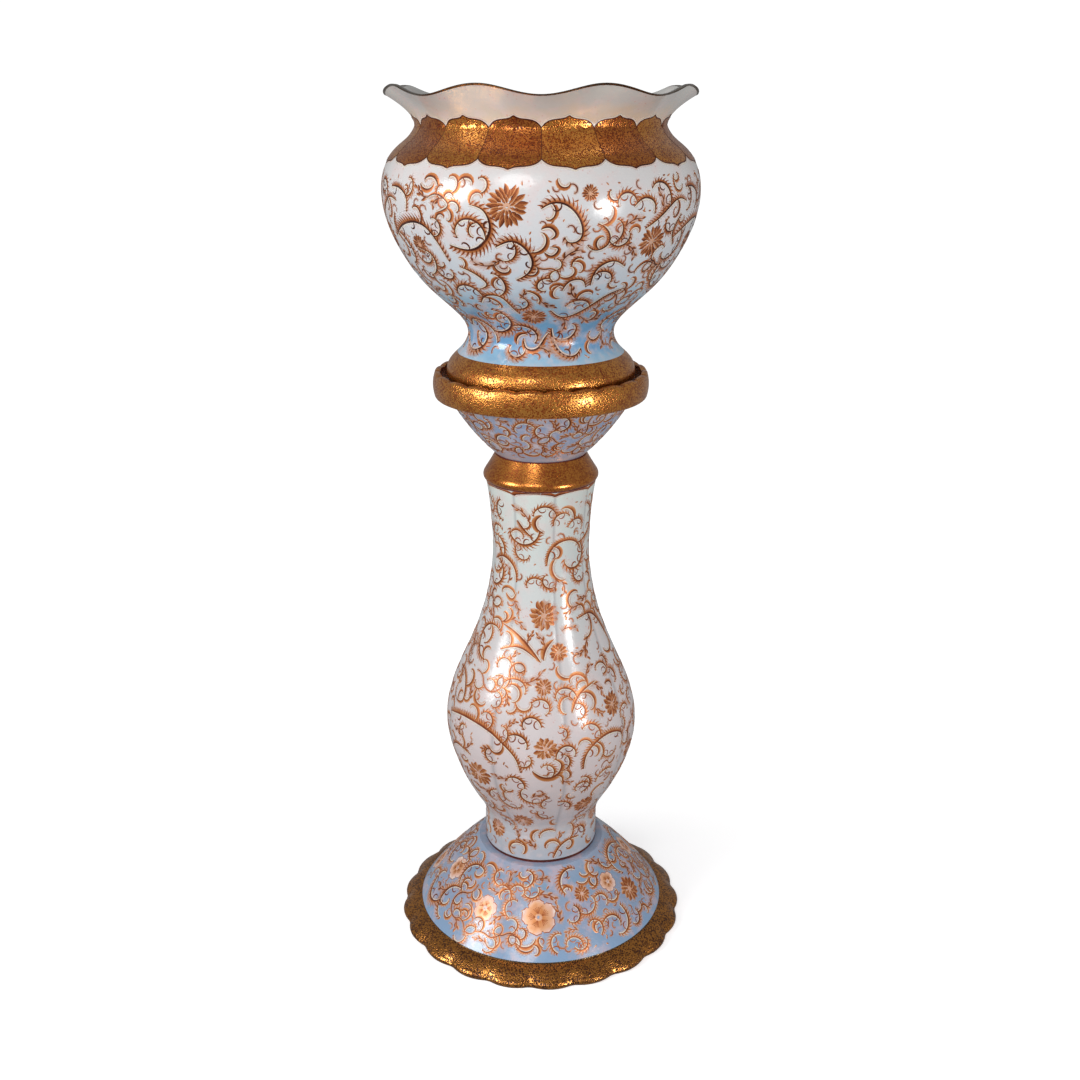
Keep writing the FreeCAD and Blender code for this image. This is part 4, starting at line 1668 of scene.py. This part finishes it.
@dataclass
class Stem:
    """The lobed baluster, in metres above its own base."""

    ring_radius: float = 0.0695
    # How far the plain ring lies inside its radius, at heights above the base.
    ring_edge: tuple[Place, ...] = ((0.001, 0.0), (0.0, 0.001), (0.0, 0.016), (0.0, 0.0325),
                                    (0.0005, 0.0340))
    ring_top: Place = (0.069, 0.035)
    belly: Place = (0.1156, 0.1655)
    neck: Place = (0.0564, 0.385)
    top: Place = (0.0635, 0.470)
    wall: float = 0.009
    hollow: Place = (0.045, 0.455)
    socket: float = 0.0175
    spigot: Place = (0.055, 0.479)
    lobes: int = 8
    lobe_depth: float = 0.0026
    lobe_start: float = 0.012
    groove: float = 15.0
    # Painted shade along the grooves: its width, in shares of the way from a groove to a lobe's middle, and
    # its strength.
    groove_shade_width: float = 0.16
    groove_shade_share: float = 0.55
    scroll_zone: Place = (0.003, 0.461)
    scroll_rounds: tuple[float, ...] = (0.0, 180.0)
    facets: int = 256
    base: float = field(default_factory=lambda: base_of("stem"))

    def line(self) -> list[Place]:
        """Give the outside above the plain ring."""
        swell = between(self.ring_top, self.belly, (0.03, 0.08), (0.23, 0.23), (0.49, 0.39), (0.78, 0.62))
        waist = between(self.belly, self.neck, (0.16, 0.23), (0.47, 0.43), (0.77, 0.64), (0.93, 0.82))
        flare = between(self.neck, self.top, (0.18, 0.42), (0.52, 0.74))
        places = [self.ring_top, *swell, self.belly, *waist, self.neck, *flare, self.top]
        return [(radius, self.base + height) for radius, height in smooth_line(places, 0.0032)]

    def crest(self, angle: Array) -> Array:
        """Give how near an angle in degrees is to a lobe's middle, from 0 in a groove to 1."""
        return np.abs(np.sin(np.radians(self.lobes / 2 * (angle - self.groove))))

    def strength(self, height: Array) -> Array:
        """Give how far the lobes are out at a height, from 0 at the plain ring to 1."""
        return np.clip((height - self.base - self.ring_top[1]) / self.lobe_start, 0, 1)

    def lobe(self, angle: Array, radius: Array, height: Array) -> Array:
        """Tell how far the wall lies inside its outline: round lobes with narrow grooves between them."""
        return self.lobe_depth * radius / self.belly[0] * (1 - self.crest(angle)) * self.strength(height)

    def profile(self) -> Profile:
        """Draw the closed outline."""
        base, outside = self.base, self.line()
        inner = self.ring_radius - self.wall
        bore = self.spigot[0] - self.wall
        low, high = self.hollow
        ring = [(self.ring_radius - inset, base + height) for inset, height in self.ring_edge]
        inside = [(radius - self.wall * 1.15, height) for radius, height in reversed(outside[::4])
                  if base + low < height < base + high]
        profile = Profile()
        profile.to(Zone.MAIN, [(inner, base), *ring, *outside, (self.spigot[0], base + self.top[1]),
                               (self.spigot[0], base + self.spigot[1]), (bore, base + self.spigot[1]),
                               *inside, (inner, base + self.socket), (inner, base)])
        return profile

    def press(self, angle: Array, radius: Array, height: Array) -> tuple[Array, Array]:
        """Press the grooves into the wall, and leave the spigot and the bore round."""
        slack = MM / 10
        walled = (height < self.base + self.top[1] + slack) * (radius > self.neck[0] - 6 * slack)
        return radius - self.lobe(angle, radius, height) * walled, height

    def body(self, finishes: Finishes) -> None:
        """Make the stem's body, with painted shade along each groove marked for its glaze."""
        piece = turn_piece("stem_body", self.profile(), self.facets, [finishes["stem_glaze"]], self.groove)
        reshape(piece, self.press)
        points = points_of(piece)
        depth = np.clip(1 - self.crest(angles_of(points)) / self.groove_shade_width, 0, 1)
        seam = piece.data.attributes.new(GROOVE_SHADE, "FLOAT", "POINT")
        seam.data.foreach_set("value",
                              (self.groove_shade_share * depth * self.strength(points[:, 2])).astype(np.float32))
        smooth(piece, 40)
        hand_over(piece, "stand", "stem")

    def scrolls(self, finishes: Finishes) -> None:
        """Paint the stem's scrolls: some listed ones, twice round, and small ones between."""
        ring = [(self.ring_radius, self.base + height) for height in (0.001, 0.012, 0.022, 0.031)]
        wall = Wall(ring + self.line()[1:], self.lobe)
        low, high = self.scroll_zone
        brush = Brush(wall, 37, 0.16, (self.base + low, self.base + high))
        for turn in self.scroll_rounds:
            brush.plumes(STEM_PLUMES, turn, 0.08)
            for angle, height, reach in STEM_FLOWERS:
                brush.flower(brush.spot_at(angle + turn, height), reach, 11)
        brush.scatter(round_flower, 10, 400)
        brush.scatter(long_vine, 6, 400)
        brush.branch_out({big_plume: 10, short_vine: 10, crescent: 60})
        hand_over_paint(brush, "stem_scrolls", "stand", finishes)
        brush.branch_out({crescent: 30, mid_plume: 40, leafy_sprig: 70})
        brush.fill()
        foot = (self.base + 0.0016) / MM
        spot, spine = brush.hoop(lambda angle: foot)
        brush.strip(spot, spine, 1.0, 1.2, [-0.1] * 3, SOLID, Layer.TRIM)
        hand_over_paint(brush, "stem_small_scrolls", "stand", finishes)

    def gilt_edge(self, finishes: Finishes) -> None:
        """Paint the gilt edge under the shoulder, with an arch over each lobe."""
        brush = Brush(Wall(self.line()[-16:], self.lobe), 5)
        top = (self.base + self.top[1]) / MM
        half = self.lobes / 2
        spot, spine = brush.hoop(
            lambda angle: top - 5.0 + 4.2 * abs(math.sin(math.radians(half * (angle - self.groove)))) ** 0.7)
        brush.strip(spot, spine, 3.0, 0.3, [0.40, 0.34, 0.10], SOLID, Layer.BAND)
        brush.strip(spot, spine, 0.1, 1.8, [0.9, 0.9, 0.94], [0.7, 0.9, 0], Layer.HALO)
        hand_over_paint(brush, "stem_gilt_edge", "stand", finishes)


@dataclass
class Foot:
    """The bell foot with its scalloped gilt flange, in metres above the floor."""

    flange_radius: float = 0.178
    flange_edge: float = 0.009
    edge_bulge: float = 0.002
    edge_round: float = 0.0012
    flange_top: Place = (0.153, 0.0195)
    flange_crown: float = 0.0016
    step: float = 0.0016
    step_round: float = 0.0002
    scallops: int = 21
    scallop_depth: float = 0.004
    scallop_start: float = 0.158
    scallop_run: float = 0.018
    scallop_dip: float = 0.0012
    dip_from: float = 0.006
    notch: float = -4.3
    dome_top: Place = (0.078, 0.103)
    dome_bulge: float = 0.003
    wall: float = 0.011
    recess: float = 0.141
    spigot: Place = (0.0595, 0.110)
    rod_hole: float = 0.006
    scroll_zone: Place = (0.026, 0.101)
    facets_a_scallop: int = 14

    def dome_line(self) -> list[Place]:
        """Give the dome's outside."""
        return arc_line((self.flange_top[0], self.flange_top[1] + self.step), self.dome_top,
                        self.dome_bulge, 0.003)

    def edge_line(self) -> list[Place]:
        """Give the flange's edge and its crowned top, from the floor to the step under the dome."""
        side, soft = self.flange_radius - self.edge_bulge, self.edge_round
        return [(side - soft * 5 / 6, 0.0), (side - soft / 12, soft / 2),
                *arc_line((side, soft), (side, self.flange_edge - soft), self.edge_bulge * 0.85, MM),
                (side - soft / 2, self.flange_edge - soft / 6),
                *arc_line((side - soft * 1.5, self.flange_edge + soft / 4), self.flange_top,
                          self.flange_crown, 0.0022)]

    def profile(self) -> Profile:
        """Draw the closed outline."""
        web = self.dome_top[1] - self.wall
        hollow = arc_line((self.recess, 0.0), (self.dome_top[0] - self.wall, web), self.dome_bulge, 0.008)
        ledge, soft = self.flange_top, self.step_round
        profile = Profile()
        profile.to(Zone.MAIN, [(self.rod_hole, web), *reversed(hollow)])
        profile.to(Zone.GILT, self.edge_line())
        profile.to(Zone.DARK, [(ledge[0] - soft, ledge[1] + soft),
                               (ledge[0] - 3 * soft, ledge[1] + self.step)])
        profile.to(Zone.MAIN, self.dome_line())
        profile.to(Zone.MAIN, [(self.spigot[0], self.dome_top[1]), self.spigot,
                               (self.rod_hole, self.spigot[1]), (self.rod_hole, web)])
        return profile

    def scallop(self, angle: Array, radius: Array, height: Array) -> tuple[Array, Array]:
        """Draw the flange's edge in between its round scallops, and dip it there."""
        pitch = 360 / self.scallops
        away = np.abs((angle - self.notch + pitch / 2) % pitch - pitch / 2) / (pitch / 2)
        depth = self.scallop_depth * np.clip(1.25 * (1 - away) ** 2, 0, 1)
        near = np.clip((radius - self.scallop_start) / self.scallop_run, 0, 1) ** 1.5
        dip = self.scallop_dip * (1 - away) ** 3 * near * (height > self.dip_from)
        return radius - depth * near, height - dip

    def body(self, finishes: Finishes) -> None:
        """Make the foot's body."""
        coats = [finishes[name] for name in ("foot_glaze", "dark_gold", "lip_gold")]
        facets = self.scallops * self.facets_a_scallop
        piece = turn_piece("foot_body", self.profile(), facets, coats, self.notch)
        reshape(piece, self.scallop)
        smooth(piece, 40)
        hand_over(piece, "stand", "foot")

    def scrolls(self, finishes: Finishes) -> None:
        """Paint the dome's blossoms and scrolls."""
        brush = Brush(Wall(self.dome_line(), flat), 41, 0.14, self.scroll_zone)
        for angle, height, reach in FOOT_BLOSSOMS:
            brush.blossom(brush.spot_at(angle, height, angle), reach)
        for angle, height, reach in FOOT_FLOWERS:
            brush.flower(brush.spot_at(angle, height), reach, 11)
        brush.scatter(open_blossom, 5, 300)
        brush.scatter(long_vine, 6, 400)
        brush.branch_out({big_plume: 8, short_vine: 10, mid_plume: 30, leafy_sprig: 50, crescent: 80})
        brush.fill()
        hand_over_paint(brush, "foot_scrolls", "stand", finishes)


BEDDING_RINGS = ("foot_bedding_ring", "stem_bedding_ring", "collar_bedding_ring", "pot_bedding_ring")
FIXINGS = ("tie_rod", "lower_nut", "lower_washer", "upper_nut", "upper_washer")


def dress(piece: Piece, finish: Material) -> None:
    """Give a piece of the frame its finish."""
    piece.data.materials.clear()
    piece.data.materials.append(finish)
    LOG.info("%s keeps its own shape", piece.name)


# ---- room ----------------------------------------------------------------------------------


@dataclass(frozen=True)
class Lamp:
    """A soft oval lamp: where it hangs and what it points at, its width and height in metres, its watts."""

    name: str
    place: Point
    aim: Point
    width: float
    height: float
    power: float

    def hang(self) -> None:
        """Put the lamp into the scene."""
        data = bpy.data.lights.new(self.name, "AREA")
        data.shape = "ELLIPSE"
        data.size = self.width
        data.size_y = self.height
        data.energy = self.power
        lamp = bpy.data.objects.new(self.name, data)
        lamp.location = self.place
        lamp.rotation_euler = (Vector(self.aim) - Vector(self.place)).to_track_quat("-Z", "Y").to_euler()
        bpy.context.scene.collection.objects.link(lamp)


@dataclass
class Studio:
    """Pale floor, white surround, soft lights and the camera."""

    camera_place: Point = (-0.001, -1.382, 0.986)
    camera_pitch: float = 70.55
    lens: float = 41.667
    ambient: float = 0.30
    floor_radius: float = 7.0
    floor_glow: float = 0.80
    screen_radius: float = 6.9
    screen_glow: float = 1.05
    lamps: tuple[Lamp, ...] = (Lamp("window", (1.22, -1.24, 0.58), (0, 0, 0.70), 0.44, 0.54, 12),
                               Lamp("fill", (-1.75, -1.0, 1.15), (0, 0, 0.60), 0.9, 0.9, 24),
                               Lamp("front", (-0.75, -2.3, 2.0), (0, 0, 0.50), 1.2, 1.2, 19))

    def camera(self) -> None:
        """Set up the camera at the photograph's height and slope."""
        data = bpy.data.cameras.new("camera")
        data.lens = self.lens
        data.sensor_width = 36
        data.clip_start = 0.01
        camera = bpy.data.objects.new("camera", data)
        camera.location = self.camera_place
        camera.rotation_euler = (math.radians(self.camera_pitch), 0, 0)
        bpy.context.scene.collection.objects.link(camera)
        bpy.context.scene.camera = camera

    def floor(self) -> None:
        """Lay the floor, with a painted shadow that dims its glow round the foot."""
        pick()
        bpy.ops.mesh.primitive_circle_add(vertices=96, radius=self.floor_radius, fill_type="NGON")
        floor = bpy.context.object
        floor.name = "floor"
        board = Board("floor_paper")
        tone = board.ramp(board.noise(900, 2), (0.3, shade(236, 236, 236)), (0.7, shade(242, 242, 242)))
        # Painted shadow: the floor's glow goes from white far out to grey in the middle, round the foot.
        near = board.node("ShaderNodeTexGradient", {"gradient_type": "SPHERICAL"}, {0: board.where()})
        glow_with_painted_shadow = board.ramp(near.outputs["Fac"], (0.15, shade(255, 255, 255)), (0.62, shade(226, 226, 226)),
                          (0.85, shade(206, 206, 208)))
        floor.data.materials.append(board.done({"Base Color": tone, "Roughness": 0.9,
                                                "Emission Color": glow_with_painted_shadow,
                                                "Emission Strength": self.floor_glow}))
        floor.visible_diffuse = False
        floor.visible_glossy = False

    def surround(self) -> None:
        """Light the room from all sides, and close it with a white screen that only the camera sees."""
        world = bpy.data.worlds.new("studio_air")
        world.use_nodes = True
        air = world.node_tree.nodes["Background"]
        air.inputs["Color"].default_value = (1, 1, 1, 1)
        air.inputs["Strength"].default_value = self.ambient
        bpy.context.scene.world = world
        pick()
        bpy.ops.mesh.primitive_ico_sphere_add(subdivisions=4, radius=self.screen_radius)
        screen = bpy.context.object
        screen.name = "screen"
        board = Board("screen_white")
        screen.data.materials.append(board.done({"Base Color": (0, 0, 0, 1), "Emission Color": (1, 1, 1, 1),
                                                 "Emission Strength": self.screen_glow,
                                                 "Roughness": 1.0, "Specular IOR Level": 0.0}))
        for reach in ("visible_diffuse", "visible_glossy", "visible_shadow", "visible_transmission",
                      "visible_volume_scatter"):
            setattr(screen, reach, False)

    def build(self) -> None:
        """Build the whole room."""
        self.camera()
        self.floor()
        self.surround()
        for lamp in self.lamps:
            lamp.hang()
        bpy.context.scene.view_settings.view_transform = "Standard"


def main() -> None:
    """Build every piece in order, then the room."""
    logging.basicConfig(level=logging.INFO, format="%(name)s: %(message)s")
    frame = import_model()
    finishes = {finish.name: finish.make()
                for finish in (POT_GLAZE, STEM_GLAZE, DISH_GLAZE, FOOT_GLAZE, OLD_GOLD, RED_GOLD_AND_SHADE, DARK_GOLD,
                               SMOOTH_GOLD, LIP_GOLD, ENAMEL, Leather(), Steel())}
    foot, stem, collar, dish, pot = Foot(), Stem(), Collar(), Dish(), Pot()
    foot.body(finishes)
    foot.scrolls(finishes)
    stem.body(finishes)
    stem.scrolls(finishes)
    stem.gilt_edge(finishes)
    collar.body(finishes)
    dish.body(finishes)
    dish.scrolls(finishes)
    pot.body(finishes)
    pot.band(finishes)
    pot.scrolls(finishes)
    for node in BEDDING_RINGS:
        dress(frame["nodes"][node], finishes["bedding_leather"])
    for node in FIXINGS:
        dress(frame["nodes"][node], finishes["tie_steel"])
    Studio().build()


if __name__ == "__main__":
    main()
